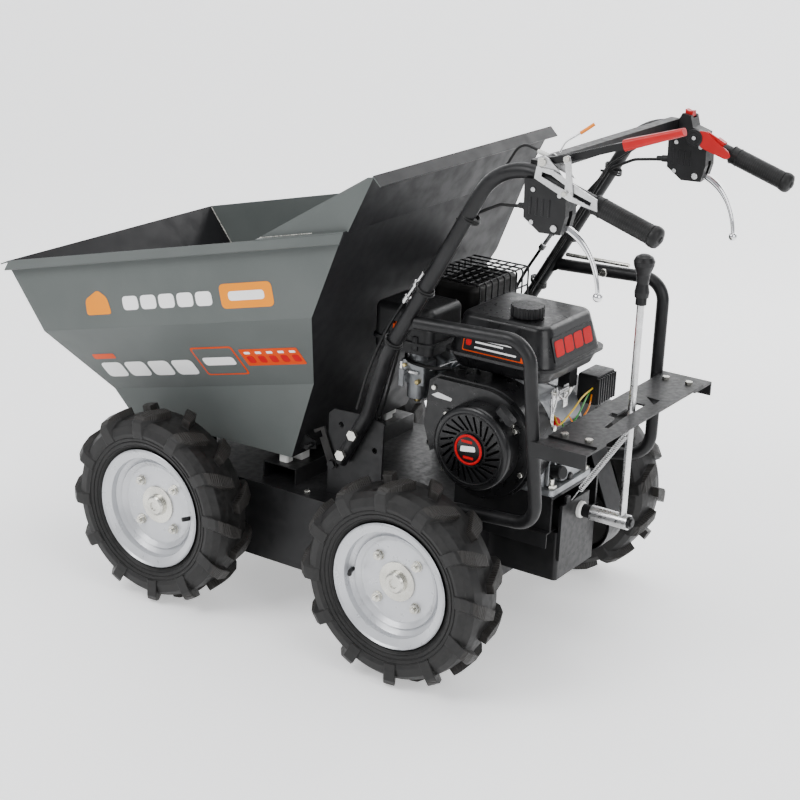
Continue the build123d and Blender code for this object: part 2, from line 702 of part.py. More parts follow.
with BuildPart() as gate_plate:
    with BuildSketch(Plane.XY.offset(GATE_Z)):
        with Locations((0, 555)):
            Rectangle(440, 98)
        Polygon(
            (-40, LEVER_Y - 9), (-40, LEVER_Y + 9), (40, LEVER_Y + 9), (40, LEVER_Y - 9),
            align=None, mode=Mode.SUBTRACT,
        )
        Polygon(
            (40, LEVER_Y - 20), (40, LEVER_Y + 9), (120, LEVER_Y + 14), (120, LEVER_Y + 2), (62, LEVER_Y - 4),
            (58, LEVER_Y - 20), align=None, mode=Mode.SUBTRACT,
        )
        Polygon((-84, 548), (-80, 579), (-50, 581), align=None, mode=Mode.SUBTRACT)
        with Locations((205, 530.5), (205, 579.5), (-205, 530.5), (-205, 579.5)):
            Circle(4, mode=Mode.SUBTRACT)
    extrude(amount=GATE_T)
save(gate_plate.part, "gate_plate")

# ================================================================ gear lever
PIN_R = 8.0
SLEEVE_Y = (495.0, 574.0)
with BuildPart() as selector_bracket:
    add(block(-36, 72, 462, 468, 200, 314))
    add(block(38, 62, 404, 462, CHASSIS_TOP, 302))
    add(block(42, 56, 462, 468, 314, 328))
    add(block(-36, 37, 455, 462, CHASSIS_TOP - SHEET, 300))
    with BuildSketch(Plane.XZ.offset(-468)):
        with Locations((0, LEVER_Z)):
            Circle(13)
    extrude(amount=-(SLEEVE_Y[0] - GAP - 468))
    with BuildSketch(Plane.XZ.offset(-468)):
        with Locations((0, LEVER_Z)):
            Circle(PIN_R)
    extrude(amount=-(SLEEVE_Y[1] + 8 - 468))
    with BuildSketch(Plane.XZ.offset(-SLEEVE_Y[1] - GAP)):
        with Locations((0, LEVER_Z)):
            Circle(12)
    extrude(amount=-4)
save(selector_bracket.part, "selector_bracket")

with BuildPart() as gear_lever:
    with BuildSketch(Plane.XZ.offset(-SLEEVE_Y[0])):
        with Locations((0, LEVER_Z)):
            Circle(15)
    extrude(amount=-(SLEEVE_Y[1] - SLEEVE_Y[0]))
    with BuildSketch(Plane.XY.offset(LEVER_Z)):
        with Locations((0, LEVER_Y)):
            Circle(7)
    extrude(amount=730 - LEVER_Z)
    with BuildSketch(Plane.XZ.offset(-SLEEVE_Y[0] + 1)):
        with Locations((0, LEVER_Z)):
            Circle(PIN_R + RUN)
    extrude(amount=-(SLEEVE_Y[1] - SLEEVE_Y[0] + 2), mode=Mode.SUBTRACT)
save(gear_lever.part, "gear_lever")

with BuildPart() as gear_knob:
    with BuildSketch(Plane.XZ.offset(-LEVER_Y)):
        Polygon(
            (0, 730), (13, 730), (14, 740), (11, 756), (13, 774), (19, 790), (20, 798), (16, 806), (9, 810), (0, 811),
            align=None,
        )
    revolve(axis=Axis((0, LEVER_Y, 0), (0, 0, 1)))
save(gear_knob.part, "gear_knob")
SPRING_ENDS = [(48, 474, 322), (46, 592, GATE_Z - 3.4)]
save(bent_tube(SPRING_ENDS, (), 11), "selector_spring")

# ================================================================ engine
with BuildPart() as engine_mount:
    add(block(-95, 93, 235, DECK_REAR, ENGINE_BASE - 6, ENGINE_BASE))
    add(block(-95, -89, 240, DECK_REAR, CHASSIS_TOP, ENGINE_BASE - 6))
    add(block(87, 93, 240, DECK_REAR, CHASSIS_TOP, ENGINE_BASE - 6))
save(engine_mount.part, "engine_mount")

with BuildPart() as crankcase:
    add(block(-66, 92, 240, 454, ENGINE_BASE, ENGINE_BASE + 12, 8))
    add(block(-58, 84, 262, 432, ENGINE_BASE, 452, 14))
    add(rod_x(CRANK_Y, CRANK_Z, 86, -62, SHROUD_X0))
    add(block(-40, 40, 420, 446, 350, 392, 6))
    with BuildSketch(Plane.XY.offset(ENGINE_BASE - 1)):
        with Locations((-50, 251), (-50, 443), (76, 251), (76, 443)):
            Circle(5)
    extrude(amount=40, mode=Mode.SUBTRACT)
    with BuildSketch(Plane.YZ.offset(-70)):
        with Locations((CRANK_Y, CRANK_Z)):
            Circle(12.5 + RUN)
    extrude(amount=200, mode=Mode.SUBTRACT)
save(crankcase.part, "crankcase")

HEAD_TILT = radians(20)
head_plane = Plane(
    origin=(15, CRANK_Y, CRANK_Z), x_dir=(1, 0, 0), z_dir=(0, -cos(HEAD_TILT), sin(HEAD_TILT))
)
with BuildPart() as cylinder_head:
    with BuildSketch(head_plane.offset(92)):
        RectangleRounded(74, 70, 16)
    extrude(amount=110)
    for fin in range(9):
        with BuildSketch(head_plane.offset(98 + fin * 9)):
            RectangleRounded(104, 96, 14)
        extrude(amount=2.6)
    with BuildSketch(head_plane.offset(176)):
        RectangleRounded(96, 90, 10)
    extrude(amount=26)
    with BuildSketch(head_plane.offset(202)):
        RectangleRounded(66, 72, 12)
    extrude(amount=22)
    add(rod_x(CRANK_Y, CRANK_Z, 86, -100, 150), mode=Mode.SUBTRACT)
save(cylinder_head.part, "cylinder_head")


def shroud_outline(inset):
    """Fan cover outline: a circle round the crankshaft and a duct to the cylinder."""
    with BuildSketch() as outline:
        with Locations((CRANK_Y, CRANK_Z)):
            Circle(SHROUD_R - inset)
        Polygon(
            (CRANK_Y - 4, CRANK_Z + SHROUD_R - inset), (236, 553 - inset), (216 + inset, 538 - inset),
            (206 + inset, 450), (222 + inset, 400), (CRANK_Y - 30, CRANK_Z), align=None,
        )
    return outline.sketch_local


with BuildPart() as fan_shroud:
    with BuildSketch(Plane.YZ.offset(SHROUD_X0)):
        add(shroud_outline(0))
    extrude(amount=SHROUD_X1 - SHROUD_X0 - SHROUD_STEP)
    with BuildSketch(Plane.YZ.offset(SHROUD_X1 - SHROUD_STEP)):
        add(shroud_outline(SHROUD_STEP * 0.7))
    extrude(amount=SHROUD_STEP)
    with BuildSketch(Plane.YZ.offset(SHROUD_X0 - 1)):
        add(shroud_outline(3))
    extrude(amount=SHROUD_X1 - SHROUD_X0 - SHROUD_STEP - 2, mode=Mode.SUBTRACT)
    with BuildSketch(Plane.YZ.offset(SHROUD_X1 - SHROUD_STEP - 4)):
        add(shroud_outline(SHROUD_STEP * 0.7 + 3))
    extrude(amount=SHROUD_STEP + 1, mode=Mode.SUBTRACT)
    with BuildSketch(Plane.YZ.offset(SHROUD_X1 - 10)):
        with Locations((CRANK_Y, CRANK_Z)):
            Circle(74)
    extrude(amount=12, mode=Mode.SUBTRACT)
save(fan_shroud.part, "fan_shroud")

RECOIL_R = 82.0
RECOIL_X1 = 212.0
ROPE_DIR = (0.0, 0.64, 0.768)
with BuildPart() as recoil_housing:
    with BuildSketch(Plane.YZ.offset(SHROUD_X1)):
        with Locations((CRANK_Y, CRANK_Z)):
            Circle(RECOIL_R)
    extrude(amount=RECOIL_X1 - SHROUD_X1)
    fillet(recoil_housing.faces().sort_by(Axis.X)[-1].edges(), 10)
    with BuildSketch(Plane.YZ.offset(SHROUD_X1 - 1)):
        with Locations((CRANK_Y, CRANK_Z)):
            Circle(RECOIL_R - 3)
    extrude(amount=RECOIL_X1 - SHROUD_X1 - 3, mode=Mode.SUBTRACT)
    with BuildSketch(Plane.YZ.offset(RECOIL_X1 - 10)):
        with Locations((CRANK_Y, CRANK_Z)):
            with PolarLocations(50, 24, start_angle=4):
                Rectangle(32, 4.5, rotation=28)
    extrude(amount=14, mode=Mode.SUBTRACT)
    with BuildSketch(Plane.YZ.offset(RECOIL_X1 - 6)):
        with Locations((CRANK_Y, CRANK_Z)):
            Circle(27)
    extrude(amount=9)
    with BuildSketch(Plane.YZ.offset(SHROUD_X1)):
        with Locations((CRANK_Y, CRANK_Z)):
            with PolarLocations(RECOIL_R + 4, 3, start_angle=30):
                Circle(9)
            Circle(RECOIL_R - 2, mode=Mode.SUBTRACT)
    extrude(amount=4)
save(recoil_housing.part, "recoil_housing")

rope_plane = Plane(origin=(196, CRANK_Y + 0.64 * 84, CRANK_Z + 0.768 * 84), x_dir=(1, 0, 0), z_dir=ROPE_DIR)
with BuildPart() as recoil_handle:
    with BuildSketch(rope_plane):
        Circle(4)
    extrude(amount=9)
    with BuildSketch(rope_plane.offset(9)):
        RectangleRounded(17, 42, 8)
    extrude(amount=14)
save(recoil_handle.part, "recoil_handle")

with BuildPart() as crank_rotor:
    add(rod_x(CRANK_Y, CRANK_Z, 12.5, -160, 130))
    with BuildSketch(Plane.YZ.offset(104)):
        with Locations((CRANK_Y, CRANK_Z)):
            Circle(92)
    extrude(amount=22)
    with BuildSketch(Plane.YZ.offset(126)):
        with Locations((CRANK_Y, CRANK_Z)):
            with PolarLocations(74, 18):
                Rectangle(30, 4, rotation=20)
            Circle(34)
    extrude(amount=26)
    add(rod_x(CRANK_Y, CRANK_Z, ENGINE_PULLEY_R + 6, PULLEY_X - 10, PULLEY_X - 7))
    add(rod_x(CRANK_Y, CRANK_Z, ENGINE_PULLEY_R - 1, PULLEY_X - 7, PULLEY_X + 7))
    add(rod_x(CRANK_Y, CRANK_Z, ENGINE_PULLEY_R + 6, PULLEY_X + 7, PULLEY_X + 10))
save(crank_rotor.part, "crank_rotor")

TANK = (-90.0, 135.0, 225.0, 450.0, 562.0, 668.0)
CAP_X = 64.0
CAP_Y = 361.0
CAP_R = 32.0
TANK_SEAM_Z = 593.0
TANK_MID = ((TANK[0] + TANK[1]) / 2, (TANK[2] + TANK[3]) / 2)


def tank_level(inset, z, radius):
    """Rounded rectangle of the tank at one height."""
    with BuildSketch(Plane.XY.offset(z)) as level:
        with Locations(TANK_MID):
            RectangleRounded(TANK[1] - TANK[0] - 2 * inset, TANK[3] - TANK[2] - 2 * inset, radius)
    return level.sketch


def tank_body(wall):
    """Tank halves that narrow away from the seam, or their inside when a wall is given."""
    with BuildPart() as body:
        for z_end, inset in ((TANK[5] - wall, 20), (TANK[4] + wall, 14)):
            seam = tank_level(wall, TANK_SEAM_Z, 34 - wall)
            end = tank_level(inset + wall, z_end, 26 - wall)
            with BuildPart() as half:
                add([seam, end])
                loft()
            add(half.part)
    return body.part


with BuildPart() as fuel_tank:
    add(tank_body(0))
    fillet(fuel_tank.faces().sort_by(Axis.Z)[-1].edges(), 12)
    fillet(fuel_tank.faces().sort_by(Axis.Z)[0].edges(), 8)
    add(block(TANK[0] - 6, TANK[1] + 6, TANK[2] - 6, TANK[3] + 6, TANK_SEAM_Z - 3, TANK_SEAM_Z + 3, 34))
    with BuildSketch(Plane.XY.offset(TANK[5] - 6)):
        with Locations((CAP_X, CAP_Y)):
            Circle(24)
    extrude(amount=20)
    add(tank_body(4), mode=Mode.SUBTRACT)
    with BuildSketch(Plane.XY.offset(TANK[4] + 30)):
        with Locations((CAP_X, CAP_Y)):
            Circle(19)
    extrude(amount=140, mode=Mode.SUBTRACT)
    add(block(-60, -30, 262, 292, 527, TANK[4] + 1))
    add(block(40, 78, 300, 330, 527, TANK[4] + 1))
    add(block(-60, -30, 385, 410, 511, TANK[4] + 1))
    add(rod_x(CRANK_Y, CRANK_Z, 86, -80, SHROUD_X0), mode=Mode.SUBTRACT)
save(fuel_tank.part, "fuel_tank")

with BuildPart() as fuel_cap:
    with BuildSketch(Plane.XY.offset(TANK[5] + 2)):
        with Locations((CAP_X, CAP_Y)):
            Circle(CAP_R)
            with PolarLocations(CAP_R + 1, 20):
                Circle(3.2, mode=Mode.SUBTRACT)
            Circle(24 + GAP, mode=Mode.SUBTRACT)
    extrude(amount=12 + GAP)
    with BuildSketch(Plane.XY.offset(TANK[5] + 14 + GAP)):
        with Locations((CAP_X, CAP_Y)):
            Circle(CAP_R)
            with PolarLocations(CAP_R + 1, 20):
                Circle(3.2, mode=Mode.SUBTRACT)
    extrude(amount=8)
    fillet(fuel_cap.faces().sort_by(Axis.Z)[-1].edges(), 1.2)
save(fuel_cap.part, "fuel_cap")

with BuildPart() as air_filter:
    add(block(22, 140, 66, 198, 570, 660, 16))
    fillet(air_filter.faces().sort_by(Axis.Z)[-1].edges(), 14)
    add(block(18, 144, 62, 202, 588, 594, 18))
    add(block(25, 137, 69, 195, 573, 640, 13), mode=Mode.SUBTRACT)
    with BuildSketch(Plane.XY.offset(655)):
        with Locations((80, 132)):
            RegularPolygon(11, 6)
    extrude(amount=16)
save(air_filter.part, "air_filter")

with BuildPart() as carburettor:
    add(block(72, 116, 118, 172, 500, 546, 6))
    with BuildSketch(Plane.XY.offset(470)):
        with Locations((94, 145)):
            Circle(21)
    extrude(amount=30)
    with BuildSketch(Plane.XY.offset(546)):
        with Locations((94, 145)):
            Circle(18)
    extrude(amount=24)
    add(block(64, 72, 125, 165, 504, 542))
    add(rod_x(128, 520, 5, 116, 130))
    add(block(126, 130, 122, 134, 496, 530, 1.5))
save(carburettor.part, "carburettor")

MUFFLER = (-196.0, -26.0, 84.0, 198.0, 592.0, 668.0)
with BuildPart() as muffler:
    add(block(*MUFFLER, 24))
    fillet(muffler.faces().sort_by(Axis.Z)[-1].edges(), 10)
    add(block(-193, -29, 87, 195, 596, 656, 21), mode=Mode.SUBTRACT)
    add(bent_tube([(-33, 150, 520), (-60, 150, 520), (-60, 150, 597)], (14,), 24, 2))
    add(block(-44, -37, 128, 172, 500, 540))
save(muffler.part, "muffler")

CAGE = (-204.0, -16.0, 72.0, 208.0, 583.0, 681.0)
WIRE_R = 1.8
with BuildPart() as muffler_cage:
    for count in range(9):
        x_wire = CAGE[0] + (CAGE[1] - CAGE[0]) * count / 8
        points = [(x_wire, CAGE[2], CAGE[4]), (x_wire, CAGE[2], CAGE[5]), (x_wire, CAGE[3], CAGE[5]), (x_wire, CAGE[3], CAGE[4])]
        add(bent_tube(points, (8, 8), 2 * WIRE_R))
    for count in range(7):
        y_wire = CAGE[2] + 6 + (CAGE[3] - CAGE[2] - 12) * count / 6
        add(rod_x(y_wire, CAGE[5] - 1.2, WIRE_R, CAGE[0] - 3, CAGE[1] + 3))
    for level in (CAGE[4] + 12, CAGE[4] + 36, CAGE[4] + 60):
        add(rod_x(CAGE[2] + 1, level, WIRE_R, CAGE[0] - 3, CAGE[1] + 3))
        add(rod_x(CAGE[3] - 1, level, WIRE_R, CAGE[0] - 3, CAGE[1] + 3))
# the cage is three flat grilles: its top, its front and its rear
CAGE_SPLIT_Z = CAGE[5] - 9.0
CAGE_MID_Y = (CAGE[2] + CAGE[3]) / 2
cage_zones = [
    block(CAGE[0] - 10, CAGE[1] + 10, CAGE[2] - 10, CAGE[3] + 10, CAGE_SPLIT_Z, CAGE[5] + 10),
    block(CAGE[0] - 10, CAGE[1] + 10, CAGE[2] - 10, CAGE_MID_Y, CAGE[4] - 10, CAGE_SPLIT_Z),
    block(CAGE[0] - 10, CAGE[1] + 10, CAGE_MID_Y, CAGE[3] + 10, CAGE[4] - 10, CAGE_SPLIT_Z),
]
save(group([muffler_cage.part & zone for zone in cage_zones]), "muffler_cage")

# ================================================================ belt drive
with BuildPart() as gearbox:
    add(block(-84, 70, 240, 462, 156, 256, 8))
    add(rod_x(GEARBOX_SHAFT[0], GEARBOX_SHAFT[1], 30, -96, -80))
    add(block(-60, 46, 262, 430, 256, CHASSIS_TOP - SHEET))
    with BuildSketch(Plane.YZ.offset(-100)):
        with Locations(GEARBOX_SHAFT):
            Circle(12 + RUN)
    extrude(amount=90, mode=Mode.SUBTRACT)
save(gearbox.part, "gearbox")

with BuildPart() as gearbox_pulley:
    add(rod_x(*GEARBOX_SHAFT, 12, -150, -20))
    add(rod_x(*GEARBOX_SHAFT, GEARBOX_PULLEY_R + 5, PULLEY_X - 10, PULLEY_X - 7))
    add(rod_x(*GEARBOX_SHAFT, GEARBOX_PULLEY_R - 1, PULLEY_X - 7, PULLEY_X + 7))
    add(rod_x(*GEARBOX_SHAFT, GEARBOX_PULLEY_R + 5, PULLEY_X + 7, PULLEY_X + 10))
save(gearbox_pulley.part, "gearbox_pulley")


def belt_outline(grow):
    """Loop round both pulleys, made from the two circles and their tangents."""
    dy = GEARBOX_SHAFT[0] - CRANK_Y
    dz = GEARBOX_SHAFT[1] - CRANK_Z
    length = hypot(dy, dz)
    uy = dy / length
    uz = dz / length
    small = ENGINE_PULLEY_R + grow
    large = GEARBOX_PULLEY_R + grow
    sine = (small - large) / length
    cosine = (1 - sine * sine) ** 0.5
    corners = []
    for turn in SIDES:
        ny = uy * sine - turn * uz * cosine
        nz = uz * sine + turn * uy * cosine
        ends = [
            (CRANK_Y + small * ny, CRANK_Z + small * nz),
            (GEARBOX_SHAFT[0] + large * ny, GEARBOX_SHAFT[1] + large * nz),
        ]
        corners.extend(ends if turn > 0 else ends[::-1])
    with BuildSketch() as loop:
        with Locations((CRANK_Y, CRANK_Z)):
            Circle(small)
        with Locations(GEARBOX_SHAFT):
            Circle(large)
        Polygon(*corners, align=None)
    return loop.sketch_local


with BuildPart() as drive_belt:
    with BuildSketch(Plane.YZ.offset(PULLEY_X - BELT_W / 2)):
        add(belt_outline(BELT_T - 0.6))
        add(belt_outline(GAP - 0.6), mode=Mode.SUBTRACT)
    extrude(amount=BELT_W)
save(drive_belt.part, "drive_belt")

with BuildPart() as belt_cover:
    with BuildSketch(Plane.YZ.offset(-172)):
        add(belt_outline(COVER_GROW))
    extrude(amount=62)
    with BuildSketch(Plane.YZ.offset(-169)):
        add(belt_outline(COVER_GROW - 2.5))
    extrude(amount=62, mode=Mode.SUBTRACT)
    with BuildSketch(Plane.YZ.offset(-175)):
        with Locations((CRANK_Y + 20, CRANK_Z - 90), (CRANK_Y + 28, CRANK_Z - 114), (CRANK_Y + 36, CRANK_Z - 138)):
            Rectangle(46, 8)
    extrude(amount=10, mode=Mode.SUBTRACT)
    cover_r = ENGINE_PULLEY_R + COVER_GROW
    for foot_y in (CRANK_Y - cover_r + 5, CRANK_Y + cover_r - 5):
        add(block(-112, -62, foot_y - 6, foot_y + 6, CRANK_Z - 5, CRANK_Z + 5))
save(belt_cover.part, "belt_cover")

# ================================================================ handlebar controls
GRIP_D = 34.0
grips = []
for grip_side in SIDES:
    start = (grip_side * HANDLE_X, 592.0, grip_z(592.0))
    finish = (grip_side * HANDLE_X, 709.0, grip_z(709.0))
    with BuildPart() as grip:
        add(bent_tube([start, finish], (), GRIP_D))
        inner_end = (grip_side * HANDLE_X, 705.0, grip_z(705.0))
        before = (grip_side * HANDLE_X, 580.0, grip_z(580.0))
        add(bent_tube([before, inner_end], (), TUBE_D), mode=Mode.SUBTRACT)
    grips.append(grip.part)
save(group(grips), "hand_grips")

LEVER_PIVOT = (528.0, 908.0)
blocks = []
for lever_side in SIDES:
    x_mid = lever_side * HANDLE_X
    with BuildPart() as lever_block:
        with BuildSketch(Plane.YZ.offset(x_mid - 19)):
            Polygon((468, 918), (466, 985), (500, 986), (546, 971), (548, 930), (540, 898), (500, 896), align=None)
        extrude(amount=38)
        with BuildSketch(Plane.YZ.offset(x_mid - 6)):
            Polygon((505, 938), (560, 938), (560, 880), (505, 880), align=None)
        extrude(amount=12, mode=Mode.SUBTRACT)
        tube = bent_tube(handle_points, (60, 90, 105), TUBE_D)
        add(tube if lever_side > 0 else mirrored(tube), mode=Mode.SUBTRACT)
        add(block(-260, 260, 455, 484, 985, 1015), mode=Mode.SUBTRACT)
        with BuildSketch(Plane.YZ.offset(x_mid - 18)):
            with Locations(LEVER_PIVOT):
                Circle(4)
        extrude(amount=36, mode=Mode.ADD)
    blocks.append(lever_block.part)
save(group(blocks), "lever_blocks")

for lever_side, lever_name in ((1, "brake_lever_left"), (-1, "brake_lever_right")):
    x_mid = lever_side * HANDLE_X
    spine = [
        (524, 914), (548, 905), (570, 892), (588, 872), (600, 846), (607, 822), (610, 804),
    ]
    with BuildPart() as brake_lever:
        with BuildSketch(Plane.YZ.offset(x_mid - 5)):
            Polygon(*strip(spine, 11), align=None)
            with Locations(LEVER_PIVOT):
                Circle(9)
            with Locations(LEVER_PIVOT):
                Circle(4 + RUN, mode=Mode.SUBTRACT)
        extrude(amount=10)
        with Locations((x_mid, 610, 800)):
            Sphere(8)
    save(brake_lever.part, lever_name)

CLUTCH_PIVOT = (497.0, 1016.0)
CHEEK_T = 3.0
with BuildPart() as clutch_bracket:
    for cheek_x in (HANDLE_X - 14 - CHEEK_T, HANDLE_X + 14):
        with BuildSketch(Plane.YZ.offset(cheek_x)):
            Polygon(
                (488, 1004), (488, 1022), (500, 1027), (510, 1022), (530, 1006), (544, 990), (508, 1002),
                align=None,
            )
        extrude(amount=CHEEK_T)
    with BuildSketch(Plane.YZ.offset(HANDLE_X + 19.5)):
        Polygon((486, 988), (489, 1008), (520, 1006), (606, 970), (608, 950), (553, 960), align=None)
        Polygon((499, 993), (500, 1001), (518, 998), (545, 985), (545, 976), align=None, mode=Mode.SUBTRACT)
        Polygon((556, 969), (558, 976), (596, 964), (594, 957), align=None, mode=Mode.SUBTRACT)
    extrude(amount=2.5)
    add(block(HANDLE_X + 14, HANDLE_X + 20, 489, 500, 1002, 1006))
    add(rod_x(*CLUTCH_PIVOT, 4, HANDLE_X - 17, HANDLE_X + 17))
save(clutch_bracket.part, "clutch_bracket")

LINK_PIN = (548.0, 1030.0)
with BuildPart() as clutch_lever:
    with BuildSketch(Plane.YZ.offset(HANDLE_X - 11)):
        Polygon(*strip([(490, 1016), (505, 1018), (548, 1030), (640, 1063)], 12), align=None)
        with Locations(CLUTCH_PIVOT):
            Circle(8)
        with Locations(CLUTCH_PIVOT):
            Circle(4 + RUN, mode=Mode.SUBTRACT)
    extrude(amount=22)
    add(block(HANDLE_X - 7, HANDLE_X + 7, 516, 620, 1000, 1120), mode=Mode.SUBTRACT)
    with BuildSketch(Plane.YZ.offset(HANDLE_X - 7)):
        Polygon(*strip([(510, 1022), (548, 1033), (640, 1066)], 4), align=None)
    extrude(amount=14)
    add(rod_x(*LINK_PIN, 3, HANDLE_X + 9, HANDLE_X + 26.5))
save(clutch_lever.part, "clutch_lever")

sleeve_plane = Plane(origin=(HANDLE_X, 640.8, 1063.3), x_dir=(1, 0, 0), z_dir=(0, cos(radians(19.5)), sin(radians(19.5))))
with BuildPart() as clutch_sleeve:
    with BuildSketch(sleeve_plane):
        RectangleRounded(26, 19, 6)
    with BuildSketch(sleeve_plane.offset(106)):
        RectangleRounded(15, 13, 5)
    loft()
save(clutch_sleeve.part, "clutch_sleeve")

with BuildPart() as clutch_link:
    with BuildSketch(Plane.YZ.offset(HANDLE_X + 22.5)):
        Polygon(*strip([LINK_PIN, (557, 972)], 11), align=None)
        with Locations(LINK_PIN, (557, 972)):
            Circle(5.5)
        with Locations(LINK_PIN):
            Circle(3 + RUN, mode=Mode.SUBTRACT)
    extrude(amount=2.5)
    with BuildSketch(Plane.YZ.offset(HANDLE_X + 25)):
        with Locations((557, 972)):
            Circle(3.5)
    extrude(amount=3)
save(clutch_link.part, "clutch_link")

POD = (527.0, 984.0)
with BuildPart() as switch_pod:
    with BuildSketch(Plane.YZ.offset(-HANDLE_X - 17)):
        Polygon((487, 992), (483, 1010), (490, 1024), (508, 1021), (514, 1000), (540, 992), (540, 968), (514, 964), align=None)
    extrude(amount=34)
    add(rod_x(*POD, 15, -HANDLE_X + 13, -HANDLE_X + 27))
    tube = mirrored(bent_tube(handle_points, (60, 90, 105), TUBE_D))
    add(tube, mode=Mode.SUBTRACT)
    add(blocks[1], mode=Mode.SUBTRACT)
    add(block(-260, 260, 455, 484, 985, 1015), mode=Mode.SUBTRACT)
    with BuildSketch(Plane.YZ.offset(-HANDLE_X - 8)):
        Polygon((489, 1016), (509, 1013), (511, 1030), (489, 1030), align=None)
    extrude(amount=16, mode=Mode.SUBTRACT)
    add(rod_x(499, 1019, 2, -HANDLE_X - 9, -HANDLE_X + 9))
    add(rod_x(*POD, 4, -HANDLE_X + 20, -HANDLE_X + 36))
save(switch_pod.part, "switch_pod")

with BuildPart() as kill_rocker:
    with BuildSketch(Plane.YZ.offset(-HANDLE_X - 7.6)):
        Polygon((492, 1020), (491, 1031), (499, 1028), (507, 1029), (507, 1018.5), (499, 1015.5), align=None)
        with Locations((499, 1019)):
            Circle(2 + RUN, mode=Mode.SUBTRACT)
    extrude(amount=15.2)
save(kill_rocker.part, "kill_rocker")

with BuildPart() as throttle_lever:
    with BuildSketch(Plane.YZ.offset(-HANDLE_X + 27 + GAP)):
        Polygon(*strip([POD, (552, 994), (586, 978)], 10), align=None)
        with Locations(POD):
            Circle(10)
        with Locations(POD):
            Circle(4 + RUN, mode=Mode.SUBTRACT)
    extrude(amount=4)
    with BuildSketch(Plane.YZ.offset(-HANDLE_X + 20)):
        Polygon(*strip([(572, 988), (588, 980)], 5), align=None)
    extrude(amount=12)
save(throttle_lever.part, "throttle_lever")

# ================================================================ cables
CABLE_D = 6.0
cable_routes = [
    ([(268, 465, 930), (254, 400, 922), (252, 352, 898), (249, 192, 614), (191, 116, 456), (188, 112, 271)], (30, 30, 40, 40, 30)),
]
cables = []
for route_points, route_bends in cable_routes:
    left_cable = bent_tube(route_points, route_bends[: len(route_points) - 2], CABLE_D)
    cables.append(left_cable)
    cables.append(mirrored(left_cable))
clutch_route = [(255, 492, 1020), (240, 425, 1032), (243, 352, 906), (241, 196, 616), (181, 122, 456), (180, 120, 271)]
cables.append(bent_tube(clutch_route, (30, 30, 40, 40), 5.0))
throttle_route = [
    (-251, 511, 981), (-236, 440, 972), (-244, 352, 906), (-240, 196, 616), (-226, 226, 520), (-104, 236, 512),
    (-62, 252, 500),
]
cables.append(bent_tube(throttle_route, (30, 30, 30, 30, 20), 4.0))
save(group(cables), "control_cables")

# ================================================================ fasteners
frame_bolts = []
for bolt_side in SIDES:
    for bolt_y, bolt_z in (BOLT_LOW, BOLT_UP):
        face = bolt_side * 227.5
        frame_bolts.append(hex_bolt_x(bolt_y, bolt_z, face, bolt_side, 12, 40))
    for bolt_y in (530.5, 579.5):
        frame_bolts.append(hex_bolt_z(bolt_side * 205, bolt_y, GATE_Z + GATE_T, 8, 16))
for bolt_x in (-50, 76):
    for bolt_y in (251, 443):
        frame_bolts.append(hex_bolt_z(bolt_x, bolt_y, ENGINE_BASE + 12, 10, 12))
save(group(frame_bolts), "frame_bolts")
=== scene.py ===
"""Looks of the petrol mini dumper on its CAD bodies. Metres, +Z up, bin at -Y, the machine's left at +X."""

import json
from math import atan, cos, pi, radians, sin

import bmesh
import bpy
from mathutils import Matrix, Vector


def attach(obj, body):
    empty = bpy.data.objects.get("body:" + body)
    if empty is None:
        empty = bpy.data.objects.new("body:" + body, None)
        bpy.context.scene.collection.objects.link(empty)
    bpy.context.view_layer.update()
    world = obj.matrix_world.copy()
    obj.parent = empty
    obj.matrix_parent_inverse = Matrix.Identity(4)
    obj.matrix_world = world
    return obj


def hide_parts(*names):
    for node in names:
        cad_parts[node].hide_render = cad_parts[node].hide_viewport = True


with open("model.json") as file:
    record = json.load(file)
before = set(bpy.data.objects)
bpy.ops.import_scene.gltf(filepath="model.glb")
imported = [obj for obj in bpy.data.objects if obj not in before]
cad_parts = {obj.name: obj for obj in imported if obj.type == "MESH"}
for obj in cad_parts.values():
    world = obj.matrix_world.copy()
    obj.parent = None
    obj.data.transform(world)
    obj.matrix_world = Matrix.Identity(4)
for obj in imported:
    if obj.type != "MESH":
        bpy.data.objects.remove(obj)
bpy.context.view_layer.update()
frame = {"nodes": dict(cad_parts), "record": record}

AXLE_Z = 0.203
AXLES = {
    "front_left": (1, -0.3035), "rear_left": (1, 0.2785), "front_right": (-1, -0.3035),
    "rear_right": (-1, 0.2785),
}
WHEEL_X = 0.332                          # middle plane of each wheel
LUG_TOP_R = 0.189                        # from here outwards a tyre shows the tops of its lugs
SIDEWALL_R = 0.150                       # inside this the sidewall has fine rings
STUD_CIRCLE_R = 0.060                    # wheel studs
CRANK = Vector((0.0, 0.339, 0.441))      # crankshaft centre
SLOPE = 0.2428                           # rise of the bin's rim towards the operator
HANDLE_X = 0.275                         # middle of each handle
SIDES = (1, -1)
ALONG = (0, 1, 0)
UPWARD = (0, 0, 1)


# ------------------------------------------------------------------ materials
def new_material(name):
    """An empty node material, its tree and its shader."""
    made = bpy.data.materials.new(name)
    made.use_nodes = True
    tree = made.node_tree
    return made, tree, tree.nodes["Principled BSDF"]


def noise_field(tree, scale, detail):
    """Noise in object coordinates."""
    coords = tree.nodes.new("ShaderNodeTexCoord")
    texture = tree.nodes.new("ShaderNodeTexNoise")
    texture.inputs["Scale"].default_value = scale
    texture.inputs["Detail"].default_value = detail
    tree.links.new(coords.outputs["Object"], texture.inputs["Vector"])
    return texture


